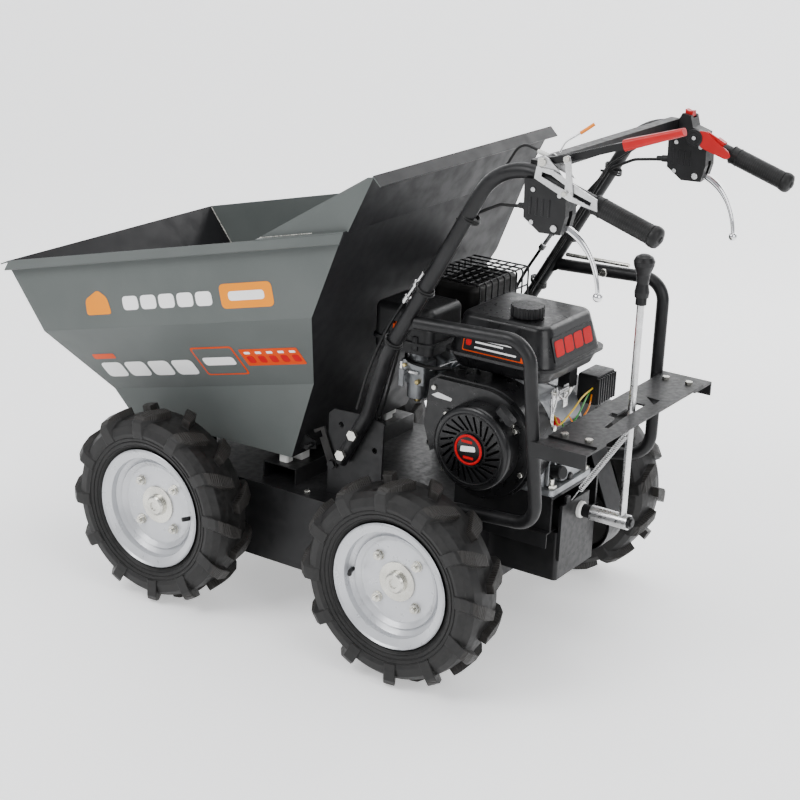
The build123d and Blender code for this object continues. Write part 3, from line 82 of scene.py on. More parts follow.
def ramp(tree, source, low, high, start=0.35, end=0.65):
    """Two colours or grey values mixed by a texture's factor."""
    node = tree.nodes.new("ShaderNodeValToRGB")
    node.color_ramp.elements[0].position = start
    node.color_ramp.elements[1].position = end
    node.color_ramp.elements[0].color = (*low, 1) if isinstance(low, tuple) else (low, low, low, 1)
    node.color_ramp.elements[1].color = (*high, 1) if isinstance(high, tuple) else (high, high, high, 1)
    tree.links.new(source, node.inputs["Fac"])
    return node


def surface(name, colour, rough, metallic=0.0, spread=0.12, rough_spread=0.08, grain=60.0, bump=0.05,
            bump_scale=400.0, coat=0.0, edge=0.0008, specular=0.5):
    """Painted, plastic or metal finish: uneven colour and roughness, a fine bump, softened edges."""
    made, tree, shader = new_material(name)
    broad = noise_field(tree, grain * 0.25, 5.0)
    dark = tuple(max(0.0, c * (1 - spread)) for c in colour)
    light = tuple(min(1.0, c * (1 + spread) + 0.002) for c in colour)
    tint = ramp(tree, broad.outputs["Fac"], dark, light)
    tree.links.new(tint.outputs["Color"], shader.inputs["Base Color"])
    fine = noise_field(tree, grain, 6.0)
    roughness = ramp(
        tree, fine.outputs["Fac"], max(0.02, rough - rough_spread), min(1.0, rough + rough_spread),
    )
    tree.links.new(roughness.outputs["Color"], shader.inputs["Roughness"])
    shader.inputs["Metallic"].default_value = metallic
    shader.inputs["Coat Weight"].default_value = coat
    shader.inputs["Coat Roughness"].default_value = 0.08
    shader.inputs["Specular IOR Level"].default_value = specular
    pits = noise_field(tree, bump_scale, 3.0)
    bumping = tree.nodes.new("ShaderNodeBump")
    bumping.inputs["Strength"].default_value = bump
    bumping.inputs["Distance"].default_value = 0.0006
    tree.links.new(pits.outputs["Fac"], bumping.inputs["Height"])
    if edge > 0:
        soft = tree.nodes.new("ShaderNodeBevel")
        soft.samples = 4
        soft.inputs["Radius"].default_value = edge
        tree.links.new(soft.outputs["Normal"], bumping.inputs["Normal"])
    tree.links.new(bumping.outputs["Normal"], shader.inputs["Normal"])
    return made


def tread(name, y_centre):
    """Tyre rubber: fine ribs across the lug tops, greyer worn tops, smooth sidewalls."""
    made, tree, shader = new_material(name)
    coords = tree.nodes.new("ShaderNodeTexCoord")
    split = tree.nodes.new("ShaderNodeSeparateXYZ")
    tree.links.new(coords.outputs["Object"], split.inputs["Vector"])

    def maths(operation, a, b=None):
        node = tree.nodes.new("ShaderNodeMath")
        node.operation = operation
        for index, value in enumerate((a, b)):
            if value is None:
                continue
            if isinstance(value, (int, float)):
                node.inputs[index].default_value = value
            else:
                tree.links.new(value, node.inputs[index])
        return node.outputs[0]

    y_rel = maths("SUBTRACT", split.outputs["Y"], y_centre)
    z_rel = maths("SUBTRACT", split.outputs["Z"], AXLE_Z)
    radius = maths("SQRT", maths("ADD", maths("MULTIPLY", y_rel, y_rel), maths("MULTIPLY", z_rel, z_rel)))
    angle = maths("ARCTAN2", z_rel, y_rel)
    ribs_round = maths("MULTIPLY", angle, 62.0)
    ribs_across = maths("MULTIPLY", split.outputs["X"], 1500.0)
    ribs = maths("SINE", maths("ADD", ribs_round, ribs_across))
    top = maths("GREATER_THAN", radius, LUG_TOP_R)
    ring_waves = maths("SINE", maths("MULTIPLY", radius, 2600.0))
    rings = maths("MULTIPLY", ring_waves, maths("LESS_THAN", radius, SIDEWALL_R))
    height = maths("ADD", maths("MULTIPLY", ribs, top), maths("MULTIPLY", rings, 0.25))
    noise = noise_field(tree, 90.0, 6.0)
    tint = ramp(tree, noise.outputs["Fac"], (0.0060, 0.0058, 0.0056), (0.0150, 0.0145, 0.0140))
    worn = tree.nodes.new("ShaderNodeMix")
    worn.data_type = "RGBA"
    tree.links.new(maths("MULTIPLY", top, 0.45), worn.inputs[0])
    tree.links.new(tint.outputs["Color"], worn.inputs[6])
    worn.inputs[7].default_value = (0.030, 0.027, 0.024, 1)
    tree.links.new(worn.outputs[2], shader.inputs["Base Color"])
    rough = ramp(tree, noise.outputs["Fac"], 0.42, 0.60)
    shader.inputs["Specular IOR Level"].default_value = 0.3
    tree.links.new(rough.outputs["Color"], shader.inputs["Roughness"])
    soft = tree.nodes.new("ShaderNodeBevel")
    soft.samples = 4
    soft.inputs["Radius"].default_value = 0.003
    bumping = tree.nodes.new("ShaderNodeBump")
    bumping.inputs["Strength"].default_value = 0.35
    bumping.inputs["Distance"].default_value = 0.0015
    tree.links.new(height, bumping.inputs["Height"])
    tree.links.new(soft.outputs["Normal"], bumping.inputs["Normal"])
    tree.links.new(bumping.outputs["Normal"], shader.inputs["Normal"])
    return made


MAT = {
    "tyre_front": tread("tyre_front_rubber", AXLES["front_left"][1]),
    "tyre_rear": tread("tyre_rear_rubber", AXLES["rear_left"][1]),
    "rim_silver": surface("rim_silver_paint", (0.52, 0.53, 0.55), 0.34, 0.35, 0.05, grain=40, coat=0.3),
    "zinc": surface("zinc_plate", (0.60, 0.59, 0.54), 0.26, 0.95, 0.14, grain=120),
    "black_frame": surface(
        "black_powder_coat", (0.0065, 0.0065, 0.0070), 0.40, 0.0, 0.2, grain=90, bump=0.12, specular=0.28,
    ),
    "bin_grey": surface(
        "bin_grey_paint", (0.098, 0.108, 0.104), 0.40, 0.0, 0.05, grain=30, bump=0.05, specular=0.12,
    ),
    "steel": surface("plated_steel", (0.62, 0.62, 0.62), 0.30, 1.0, 0.12, grain=140),
    "dark_steel": surface(
        "dark_steel", (0.030, 0.029, 0.028), 0.5, 0.6, 0.3, grain=80, bump=0.15, specular=0.3,
    ),
    "rubber": surface(
        "soft_black_rubber", (0.0060, 0.0060, 0.0060), 0.50, 0.0, 0.2, grain=120, bump=0.15, specular=0.28,
    ),
    "white_pad": surface("white_plastic", (0.74, 0.74, 0.71), 0.45, 0.0, 0.04, grain=80),
    "cast_alu": surface(
        "cast_aluminium", (0.30, 0.31, 0.32), 0.46, 0.9, 0.18, grain=160, bump=0.5, bump_scale=900,
    ),
    "engine_black": surface(
        "engine_black_paint", (0.0050, 0.0050, 0.0055), 0.34, 0.0, 0.15, grain=70, coat=0.12, specular=0.32,
    ),
    "black_plastic": surface(
        "black_plastic", (0.0070, 0.0070, 0.0075), 0.42, 0.0, 0.15, grain=150, bump=0.25, bump_scale=1200,
        specular=0.3,
    ),
    "chrome": surface(
        "chrome_plate", (0.80, 0.80, 0.81), 0.10, 1.0, 0.03, rough_spread=0.04, grain=60, bump=0.01,
    ),
    "red_plastic": surface(
        "red_vinyl", (0.42, 0.0015, 0.0040), 0.36, 0.0, 0.08, grain=80, coat=0.05, specular=0.3,
    ),
    "orange": surface("orange_vinyl", (0.80, 0.25, 0.0), 0.45, 0.0, 0.03, grain=30, edge=0.0, specular=0.15),
    "orange_deep": surface(
        "deep_orange_vinyl", (0.62, 0.055, 0.0), 0.45, 0.0, 0.03, grain=30, edge=0.0, specular=0.15,
    ),
    "white": surface("white_vinyl", (0.88, 0.88, 0.87), 0.40, 0.0, 0.02, grain=30, edge=0.0, specular=0.2),
    "red_mark": surface("red_print", (0.50, 0.0, 0.004), 0.45, 0.0, 0.05, grain=60, edge=0.0, specular=0.15),
    "yellow_wire": surface("yellow_insulation", (0.60, 0.38, 0.0), 0.4, 0.0, 0.08, grain=80, edge=0.0),
    "green_wire": surface("green_insulation", (0.01, 0.22, 0.02), 0.4, 0.0, 0.08, grain=80, edge=0.0),
    "orange_tip": surface("orange_sleeve", (0.80, 0.22, 0.0), 0.4, 0.0, 0.08, grain=80),
    "gold_cap": surface("gold_passivated", (0.62, 0.50, 0.22), 0.32, 0.9, 0.12, grain=120),
}


def paint_rear_face_shade(made, dark):
    """Painted shade: faces turned towards the operator (inner and back faces) catch little light, so their
    base colour is mixed towards near black.
    """
    tree = made.node_tree
    shader = tree.nodes["Principled BSDF"]
    coords = tree.nodes.new("ShaderNodeTexCoord")
    split = tree.nodes.new("ShaderNodeSeparateXYZ")
    tree.links.new(coords.outputs["Normal"], split.inputs["Vector"])
    shade_mask = ramp(tree, split.outputs["Y"], 0.0, 1.0, 0.25, 0.40)
    shade_mix = tree.nodes.new("ShaderNodeMix")
    shade_mix.data_type = "RGBA"
    tree.links.new(shade_mask.outputs["Color"], shade_mix.inputs[0])
    tree.links.new(shader.inputs["Base Color"].links[0].from_socket, shade_mix.inputs[6])
    shade_mix.inputs[7].default_value = (*dark, 1)
    tree.links.new(shade_mix.outputs[2], shader.inputs["Base Color"])


# Painted shade: the bin's faces pointing to +Y, the front wall inside and the back plate's rear, go near
# black.
paint_rear_face_shade(MAT["bin_grey"], (0.012, 0.012, 0.013))


# ------------------------------------------------------------------ mesh tools
def finish_mesh(name, mesh_data, material, body):
    """Turns mesh data into a piece that rides on a body and fills a material slot."""
    mesh_data.normal_update()
    mesh = bpy.data.meshes.new(name)
    mesh_data.to_mesh(mesh)
    mesh_data.free()
    made = bpy.data.objects.new(name, mesh)
    bpy.context.scene.collection.objects.link(made)
    mesh.materials.append(MAT[material])
    for face in mesh.polygons:
        face.use_smooth = True
    mesh.set_sharp_from_angle(angle=radians(38))
    if body:
        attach(made, body)
    return made


def aligned(direction):
    """Rotation that turns +Z to direction."""
    return Vector((0, 0, 1)).rotation_difference(Vector(direction).normalized()).to_matrix().to_4x4()


def turned(mesh_data, profile, place, segments=32):
    """Adds a solid of revolution; profile is a list of (radius, height) pairs from axis to axis."""
    rings = []
    for radius, height in profile:
        if radius < 1e-6:
            rings.append([mesh_data.verts.new(place @ Vector((0, 0, height)))])
        else:
            angles = [2 * pi * k / segments for k in range(segments)]
            rings.append(
                [
                    mesh_data.verts.new(place @ Vector((radius * cos(a), radius * sin(a), height)))
                    for a in angles
                ]
            )
    for low, high in zip(rings, rings[1:]):
        for k in range(segments):
            after = (k + 1) % segments
            corners = [low[k % len(low)], low[after % len(low)], high[after % len(high)], high[k % len(high)]]
            unique = list(dict.fromkeys(corners))
            if len(unique) > 2:
                mesh_data.faces.new(unique)


def revolve(name, profile, origin, axis, material, body, segments=40):
    """One solid of revolution that starts at origin and rises along axis."""
    mesh_data = bmesh.new()
    turned(mesh_data, profile, Matrix.Translation(Vector(origin)) @ aligned(axis), segments)
    bmesh.ops.recalc_face_normals(mesh_data, faces=mesh_data.faces)
    return finish_mesh(name, mesh_data, material, body)


def add_cylinder(mesh_data, start, end, radius, segments=16, chamfer=0.0):
    """Adds a rod between two points, with chamfered ends."""
    start = Vector(start)
    end = Vector(end)
    length = (end - start).length
    c = min(chamfer, radius * 0.6, length * 0.4)
    profile = [(0, 0), (radius - c, 0), (radius, c), (radius, length - c), (radius - c, length), (0, length)]
    if c == 0:
        profile = [(0, 0), (radius, 0), (radius, length), (0, length)]
    turned(mesh_data, profile, Matrix.Translation(start) @ aligned(end - start), segments)


def cylinders(name, rods, material, body, segments=16, chamfer=0.0):
    """One mesh from several (start, end, radius) rods."""
    mesh_data = bmesh.new()
    for start, end, radius in rods:
        add_cylinder(mesh_data, start, end, radius, segments, chamfer)
    bmesh.ops.recalc_face_normals(mesh_data, faces=mesh_data.faces)
    return finish_mesh(name, mesh_data, material, body)


def add_box(mesh_data, low, high):
    """Adds a box between two opposite corners."""
    base = rectangle(low[0], low[1], high[0], high[1])
    v = [mesh_data.verts.new((x, y, z)) for z in (low[2], high[2]) for x, y in base]
    for face in ((3, 2, 1, 0), (4, 5, 6, 7), (0, 1, 5, 4), (1, 2, 6, 5), (2, 3, 7, 6), (3, 0, 4, 7)):
        mesh_data.faces.new([v[k] for k in face])


def boxes(name, solids, material, body, bevel=0.0):
    """One mesh from several (low, high) boxes, with rounded edges."""
    mesh_data = bmesh.new()
    for low, high in solids:
        add_box(mesh_data, low, high)
    if bevel > 0:
        bmesh.ops.bevel(
            mesh_data, geom=list(mesh_data.edges), offset=bevel, segments=3, affect="EDGES", profile=0.5,
        )
    return finish_mesh(name, mesh_data, material, body)


def smooth_route(points, per_span=8):
    """Catmull-Rom route through the points."""
    route = [Vector(p) for p in points]
    padded = [route[0] * 2 - route[1]] + route + [route[-1] * 2 - route[-2]]
    out = []
    for k in range(1, len(padded) - 2):
        a, b, c, d = padded[k - 1], padded[k], padded[k + 1], padded[k + 2]
        for step in range(per_span):
            t = step / per_span
            squared = (2 * a - 5 * b + 4 * c - d) * t * t
            cubed = (3 * b - a - 3 * c + d) * t ** 3
            out.append(0.5 * (2 * b + (c - a) * t + squared + cubed))
    out.append(route[-1])
    return out


def add_tube(mesh_data, points, radius, segments=10):
    """Tube of even or varying radius along a polyline, with closed ends."""
    count = len(points)
    radii = radius if isinstance(radius, list) else [radius] * count
    tangent = (points[1] - points[0]).normalized()
    side = tangent.orthogonal().normalized()
    rings = []
    for k, point in enumerate(points):
        ahead = points[min(k + 1, count - 1)] - points[max(k - 1, 0)]
        turn = tangent.rotation_difference(ahead.normalized())
        side = (turn @ side).normalized()
        tangent = ahead.normalized()
        up = tangent.cross(side)
        angles = [2 * pi * s / segments for s in range(segments)]
        rings.append([mesh_data.verts.new(point + (side * cos(a) + up * sin(a)) * radii[k]) for a in angles])
    for low, high in zip(rings, rings[1:]):
        for s in range(segments):
            after = (s + 1) % segments
            mesh_data.faces.new((low[s], low[after], high[after], high[s]))
    mesh_data.faces.new(rings[0][::-1])
    mesh_data.faces.new(rings[-1])


def tubes(name, routes, material, body, segments=10, smooth=True):
    """One mesh from several (points, radius) routes."""
    mesh_data = bmesh.new()
    for points, radius in routes:
        route = smooth_route(points) if smooth and len(points) > 2 else [Vector(p) for p in points]
        add_tube(mesh_data, route, radius, segments)
    bmesh.ops.recalc_face_normals(mesh_data, faces=mesh_data.faces)
    return finish_mesh(name, mesh_data, material, body)


def torus_rings(name, rings, material, body, segments=48, tube_segments=8):
    """One mesh from several (centre, axis, radius, tube radius) rings."""
    mesh_data = bmesh.new()
    for centre, axis, radius, thick in rings:
        place = Matrix.Translation(Vector(centre)) @ aligned(axis)
        loops = []
        for k in range(segments):
            a = 2 * pi * k / segments
            loops.append([
                mesh_data.verts.new(place @ Vector((
                    (radius + thick * cos(2 * pi * s / tube_segments)) * cos(a),
                    (radius + thick * cos(2 * pi * s / tube_segments)) * sin(a),
                    thick * sin(2 * pi * s / tube_segments),
                )))
                for s in range(tube_segments)
            ])
        for k in range(segments):
            low = loops[k]
            high = loops[(k + 1) % segments]
            for s in range(tube_segments):
                after = (s + 1) % tube_segments
                mesh_data.faces.new((low[s], high[s], high[after], low[after]))
    bmesh.ops.recalc_face_normals(mesh_data, faces=mesh_data.faces)
    return finish_mesh(name, mesh_data, material, body)


def flat_shape(name, outline, origin, u_dir, v_dir, thick, material, body, round_by=0.0):
    """Thin plate: outline in (u, v) on the plane through origin, raised by thick along u x v."""
    u_dir = Vector(u_dir).normalized()
    v_dir = Vector(v_dir).normalized()
    normal = u_dir.cross(v_dir)
    points = rounded(outline, round_by) if round_by > 0 else outline
    mesh_data = bmesh.new()
    low = [mesh_data.verts.new(Vector(origin) + u_dir * u + v_dir * v) for u, v in points]
    high = [mesh_data.verts.new(p.co + normal * thick) for p in low]
    mesh_data.faces.new(low[::-1])
    mesh_data.faces.new(high)
    for k in range(len(low)):
        after = (k + 1) % len(low)
        mesh_data.faces.new((low[k], low[after], high[after], high[k]))
    bmesh.ops.recalc_face_normals(mesh_data, faces=mesh_data.faces)
    return finish_mesh(name, mesh_data, material, body)


def rounded(outline, radius, steps=5):
    """Outline with each corner replaced by a short curve."""
    out = []
    count = len(outline)
    for k in range(count):
        here = Vector(outline[k])
        before = Vector(outline[k - 1])
        after = Vector(outline[(k + 1) % count])
        reach = min(radius, (before - here).length * 0.45, (after - here).length * 0.45)
        start = here + (before - here).normalized() * reach
        end = here + (after - here).normalized() * reach
        for step in range(steps + 1):
            t = step / steps
            out.append(tuple(start * (1 - t) ** 2 + here * 2 * t * (1 - t) + end * t * t))
    return out


def rectangle(u0, v0, u1, v1):
    """Four corners, from two opposite ones."""
    return [(u0, v0), (u1, v0), (u1, v1), (u0, v1)]


# ------------------------------------------------------------------ CAD nodes
record = frame["record"]
NODE_SLOT = {row["node"]: row["material_slot"] for row in record["subparts"]}
SPECIAL = {
    "tyre_front_left": "tyre_front", "tyre_front_right": "tyre_front", "tyre_rear_left": "tyre_rear",
    "tyre_rear_right": "tyre_rear", "bin_lugs": "black_frame", "latch_hook": "dark_steel",
}
for node, piece in frame["nodes"].items():
    slot_name = NODE_SLOT[node]
    piece.data.materials.clear()
    piece.data.materials.append(MAT[SPECIAL.get(node, slot_name)])

# ------------------------------------------------------------------ stage
floor_data = bmesh.new()
FLOOR_FRONT = -6.0
FLOOR_BACK = 2.2
FLOOR_HALF_WIDTH = 9.0
SWEEP_R = 1.2
WALL_TOP = 6.0
FLOOR_AZ = radians(33.08)
sweep = [
    (FLOOR_BACK + SWEEP_R * sin(radians(a)), SWEEP_R - SWEEP_R * cos(radians(a))) for a in range(6, 91, 6)
]
profile_line = [(FLOOR_FRONT, 0.0), (FLOOR_BACK, 0.0)] + sweep + [(FLOOR_BACK + SWEEP_R, WALL_TOP)]
view_axis = Vector((-cos(FLOOR_AZ), -sin(FLOOR_AZ), 0))
side_axis = Vector((view_axis.y, -view_axis.x, 0))
rows = []
for reach, height in profile_line:
    middle = view_axis * reach + Vector((0, 0, height))
    rows.append([floor_data.verts.new(middle + side_axis * w) for w in (-FLOOR_HALF_WIDTH, FLOOR_HALF_WIDTH)])
for low, high in zip(rows, rows[1:]):
    floor_data.faces.new((low[0], low[1], high[1], high[0]))
bmesh.ops.recalc_face_normals(floor_data, faces=floor_data.faces)
MAT["floor"] = surface(
    "pale_floor", (0.93, 0.93, 0.93), 0.75, 0.0, 0.004, grain=4, bump=0.0, edge=0.0, specular=0.2,
)
floor_shader = MAT["floor"].node_tree.nodes["Principled BSDF"]
floor_shader.inputs["Emission Color"].default_value = (1, 1, 1, 1)
floor_shader.inputs["Emission Strength"].default_value = 0.55
floor = finish_mesh("studio_floor", floor_data, "floor", None)

world = bpy.context.scene.world or bpy.data.worlds.new("studio")
bpy.context.scene.world = world
world.use_nodes = True
background = world.node_tree.nodes["Background"]
background.inputs["Color"].default_value = (0.93, 0.95, 1.0, 1)
background.inputs["Strength"].default_value = 0.60


def area_light(name, place, target, size, power):
    """Square white lamp aimed at a point."""
    data = bpy.data.lights.new(name, "AREA")
    data.energy = power
    data.size = size
    lamp = bpy.data.objects.new(name, data)
    lamp.location = place
    lamp.rotation_euler = (Vector(target) - Vector(place)).to_track_quat("-Z", "Y").to_euler()
    bpy.context.scene.collection.objects.link(lamp)


area_light("key_light", (3.2, -1.6, 3.6), (0, 0, 0.5), 2.4, 150)
area_light("fill_light", (1.6, 3.6, 2.4), (0, 0.2, 0.5), 2.6, 80)
area_light("top_light", (-0.6, 0.2, 4.2), (0, 0, 0.4), 3.0, 90)
area_light("rim_light", (-3.2, 0.8, 2.0), (0, 0, 0.6), 2.0, 60)

camera_data = bpy.data.cameras.new("photo_camera")
camera_data.lens = 81.75
camera_data.sensor_width = 36.0
camera = bpy.data.objects.new("photo_camera", camera_data)
EYE = Vector((2.91374, 1.94174, 1.64201))
AZ, EL, ROLL = radians(123.084), radians(19.478), radians(2.345)
backward = Vector((sin(AZ) * cos(EL), -cos(AZ) * cos(EL), sin(EL)))
level = Vector((0, 0, 1)).cross(backward).normalized()
upright = backward.cross(level)
right = level * cos(ROLL) + upright * sin(ROLL)
up = upright * cos(ROLL) - level * sin(ROLL)
camera.matrix_world = Matrix((
    (right.x, up.x, backward.x, EYE.x),
    (right.y, up.y, backward.y, EYE.y),
    (right.z, up.z, backward.z, EYE.z),
    (0, 0, 0, 1),
))
bpy.context.scene.collection.objects.link(camera)
bpy.context.scene.camera = camera

# ------------------------------------------------------------------ bin
U_DIR = Vector((0, cos(atan(SLOPE)), sin(atan(SLOPE))))
UPPER_V = Vector((0, -sin(atan(SLOPE)), cos(atan(SLOPE))))
MIDDLE_V = Vector((0.10, -0.0352, 0.1449)).normalized()
PANEL_ORIGIN = Vector((0.330, 0, 0.651))  # on the fold between the upper and the middle panel
DECAL_THICK = 0.0004


def decal(name, outline, upper, material, round_by, layer=0):
    """Flat vinyl shape on the left side of the bin, placed along and up its panel."""
    v_dir = UPPER_V if upper else MIDDLE_V
    lift = 0.0002 + DECAL_THICK * layer
    flat_shape(
        name, outline, PANEL_ORIGIN + U_DIR.cross(v_dir) * lift, U_DIR, v_dir, DECAL_THICK, material, "bin",
        round_by,
    )


decal(
    "decal_upper_shape",
    [(-0.508, 0.028), (-0.440, 0.028), (-0.446, 0.062), (-0.468, 0.078), (-0.505, 0.060)], True, "orange",
    0.008,
)
for count in range(5):
    low = -0.405 + count * 0.0480
    decal(f"decal_upper_block_{count}", rectangle(low, 0.034, low + 0.0410, 0.062), True, "white", 0.010)
decal("decal_upper_pill", rectangle(-0.150, 0.026, -0.022, 0.074), True, "orange", 0.012)
decal("decal_upper_pill_bar", rectangle(-0.130, 0.041, -0.042, 0.059), True, "white", 0.008, 1)
decal("decal_middle_caption", rectangle(-0.560, -0.088, -0.500, -0.074), False, "orange_deep", 0.004)
for count in range(4):
    low = -0.556 + count * 0.0645
    decal(f"decal_middle_block_{count}", rectangle(low, -0.142, low + 0.0560, -0.100), False, "white", 0.012)
decal("decal_middle_tag", rectangle(-0.288, -0.146, -0.180, -0.066), False, "orange_deep", 0.008)
decal("decal_middle_tag_inner", rectangle(-0.284, -0.142, -0.184, -0.070), False, "bin_grey", 0.006, 1)
decal("decal_middle_tag_bar", rectangle(-0.274, -0.117, -0.194, -0.095), False, "white", 0.008, 2)
decal("decal_middle_strip", rectangle(-0.168, -0.122, -0.024, -0.076), False, "orange_deep", 0.004)
for count in range(5):
    left_edge = -0.162 + count * 0.028
    decal(
        f"decal_middle_cell_{count}", rectangle(left_edge + 0.003, -0.114, left_edge + 0.020, -0.095), False,
        "red_mark", 0.005, 1,
    )
    decal(
        f"decal_middle_line_{count}", rectangle(left_edge + 0.004, -0.089, left_edge + 0.018, -0.083), False,
        "white", 0.002, 1,
    )
# Weld seams along the wing's lip and at the far front corner, partly real beads and partly a painted
# highlight: the bright zinc stands in for the light edge line along them.
tubes("bin_weld_highlight_beads", [
    ([(0.3178, -0.074, 0.7915), (0.3178, 0.045, 0.8205)], 0.0013),
    ([(-0.3262, -0.7185, 0.6285), (-0.3262, -0.6165, 0.5005)], 0.0016),
], "zinc", "bin", 8)

# ------------------------------------------------------------------ wheels
for corner, (side, y) in AXLES.items():
    body = "wheel_" + corner
    turn = -1 if corner.startswith("rear") else 1
    outer = side * (WHEEL_X + 0.016)
    tubes(
        f"valve_stem_{corner}",
        [
            (
                [
                    (outer, y + turn * 0.097, AXLE_Z), (outer + side * 0.012, y + turn * 0.095, AXLE_Z),
                    (outer + side * 0.026, y + turn * 0.088, AXLE_Z),
                ],
                0.0045,
            )
        ],
        "rubber", body,
    )
    face = side * (WHEEL_X + 0.0155)
    revolve(
        f"hub_cap_{corner}",
        [(0, 0), (0.0205, 0), (0.0205, 0.002), (0.017, 0.006), (0.009, 0.0068), (0.008, 0.0045), (0, 0.0045)],
        (side * (WHEEL_X + 0.0202), y, AXLE_Z), (side, 0, 0), "zinc", body,
    )
    washers = []
    tips = []
    for k in range(4):
        a = radians(45 + 90 * k)
        centre = Vector(
            (side * (WHEEL_X + 0.0128), y + STUD_CIRCLE_R * cos(a), AXLE_Z + STUD_CIRCLE_R * sin(a))
        )
        washers.append((centre, (side, 0, 0), 0.0098, 0.0012))
        tips.append((centre + Vector((side * 0.0112, 0, 0)), centre + Vector((side * 0.0138, 0, 0)), 0.0043))
    torus_rings(f"wheel_washers_{corner}", washers, "zinc", body, 24, 6)
    cylinders(f"wheel_stud_tips_{corner}", tips, "zinc", body, 16, 0.0008)
    torus_rings(
        f"rim_weld_{corner}", [((side * (WHEEL_X + 0.0125), y, AXLE_Z), (side, 0, 0), 0.0815, 0.0012)],
        "rim_silver", body,
    )
    rings = [
        ((side * (WHEEL_X + reach), y, AXLE_Z), (side, 0, 0), radius, 0.0011)
        for radius, reach in ((0.128, 0.0395), (0.134, 0.0458), (0.141, 0.0489), (0.149, 0.0512))
    ]
    torus_rings(
        f"sidewall_rings_{corner}", rings, "tyre_front" if corner.startswith("front") else "tyre_rear", body,
        96, 6,
    )

# ------------------------------------------------------------------ engine trim
RECOIL_FACE = 0.215
BADGE_TOP = (RECOIL_FACE + 0.0017, CRANK.y, CRANK.z)
revolve("recoil_badge", [(0, 0), (0.0300, 0), (0.0300, 0.0014), (0.0280, 0.0022), (0, 0.0022)],
        (RECOIL_FACE - 0.0004, CRANK.y, CRANK.z), (1, 0, 0), "engine_black", "chassis")
torus_rings(
    "recoil_badge_ring", [((RECOIL_FACE + 0.0014, CRANK.y, CRANK.z), (1, 0, 0), 0.0272, 0.0024)], "red_mark",
    "chassis",
)
flat_shape("recoil_badge_shape", [(-0.017, -0.006), (0.016, -0.001), (0.014, 0.009), (-0.016, 0.005)],
           BADGE_TOP, ALONG, UPWARD, 0.0006, "white", "chassis", 0.003)
flat_shape("recoil_badge_bar", rectangle(-0.015, 0.013, 0.008, 0.018), BADGE_TOP,
           ALONG, UPWARD, 0.0006, "red_mark", "chassis", 0.001)
flat_shape("recoil_badge_foot", rectangle(-0.010, -0.018, 0.012, -0.013), BADGE_TOP,
           ALONG, UPWARD, 0.0006, "red_mark", "chassis", 0.001)
torus_rings(
    "recoil_face_rings", [((0.2122, CRANK.y, CRANK.z), (1, 0, 0), r, 0.0013) for r in (0.0335, 0.0685)],
    "engine_black", "chassis",
)

bolts = []
COVER_BOLT_R = 0.086
for a in (30, 150, 270):
    y, z = COVER_BOLT_R * cos(radians(a)), COVER_BOLT_R * sin(radians(a))
    bolts.append((CRANK + Vector((0.175, y, z)), CRANK + Vector((0.181, y, z)), 0.0055))
for y, z in ((0.232, 0.528), (0.405, 0.492), (0.262, 0.372), (0.428, 0.400)):
    bolts.append(((0.171, y, z), (0.1765, y, z), 0.0055))
cylinders("shroud_bolts", bolts, "zinc", "chassis", 6, 0.0008)
flat_shape("shroud_mark", [(0.226, 0.512), (0.240, 0.520), (0.272, 0.514), (0.270, 0.508), (0.238, 0.509)],
           (0.1722, 0, 0), ALONG, UPWARD, 0.0003, "white", "chassis", 0.002)
TANK_LEAN = Vector((-0.2577, 0, 0.9662))
TANK_SIDE = Vector((0.1352, 0, 0.593))
flat_shape(
    "tank_label_frame", rectangle(0.264, 0.007, 0.406, 0.040), TANK_SIDE, ALONG, TANK_LEAN, 0.0003,
    "orange_deep", "chassis", 0.003,
)
LAYER = Vector((0.0003, 0, 0.0001))
flat_shape(
    "tank_label_field", rectangle(0.266, 0.009, 0.390, 0.038), TANK_SIDE + LAYER, ALONG, TANK_LEAN, 0.0003,
    "engine_black", "chassis", 0.002,
)
for count, (v_low, y_low, y_high) in enumerate(
    ((0.031, 0.290, 0.372), (0.025, 0.290, 0.350), (0.015, 0.290, 0.380))
):
    flat_shape(
        f"tank_label_line_{count}", rectangle(y_low, v_low, y_high, v_low + 0.0032), TANK_SIDE + LAYER * 2,
        ALONG, TANK_LEAN, 0.0003, "white", "chassis", 0.001,
    )
flat_shape(
    "tank_label_dot", rectangle(0.270, 0.018, 0.282, 0.030), TANK_SIDE + LAYER * 2, ALONG, TANK_LEAN, 0.0003,
    "red_mark", "chassis", 0.005,
)
TANK_REAR_LEAN = Vector((0, -0.2577, 0.9662))
TANK_REAR = Vector((0, 0.4502, 0.593))
flat_shape(
    "tank_badge_plate", rectangle(-0.104, 0.012, 0.050, 0.058), TANK_REAR, (-1, 0, 0), TANK_REAR_LEAN, 0.0012,
    "black_plastic", "chassis", 0.004,
)
for count in range(4):
    low = -0.097 + count * 0.0362
    flat_shape(
        f"tank_badge_block_{count}", rectangle(low, 0.020, low + 0.0310, 0.050),
        TANK_REAR + Vector((0, 0.0012, 0.0003)), (-1, 0, 0), TANK_REAR_LEAN, 0.0006, "red_mark", "chassis",
        0.006,
    )

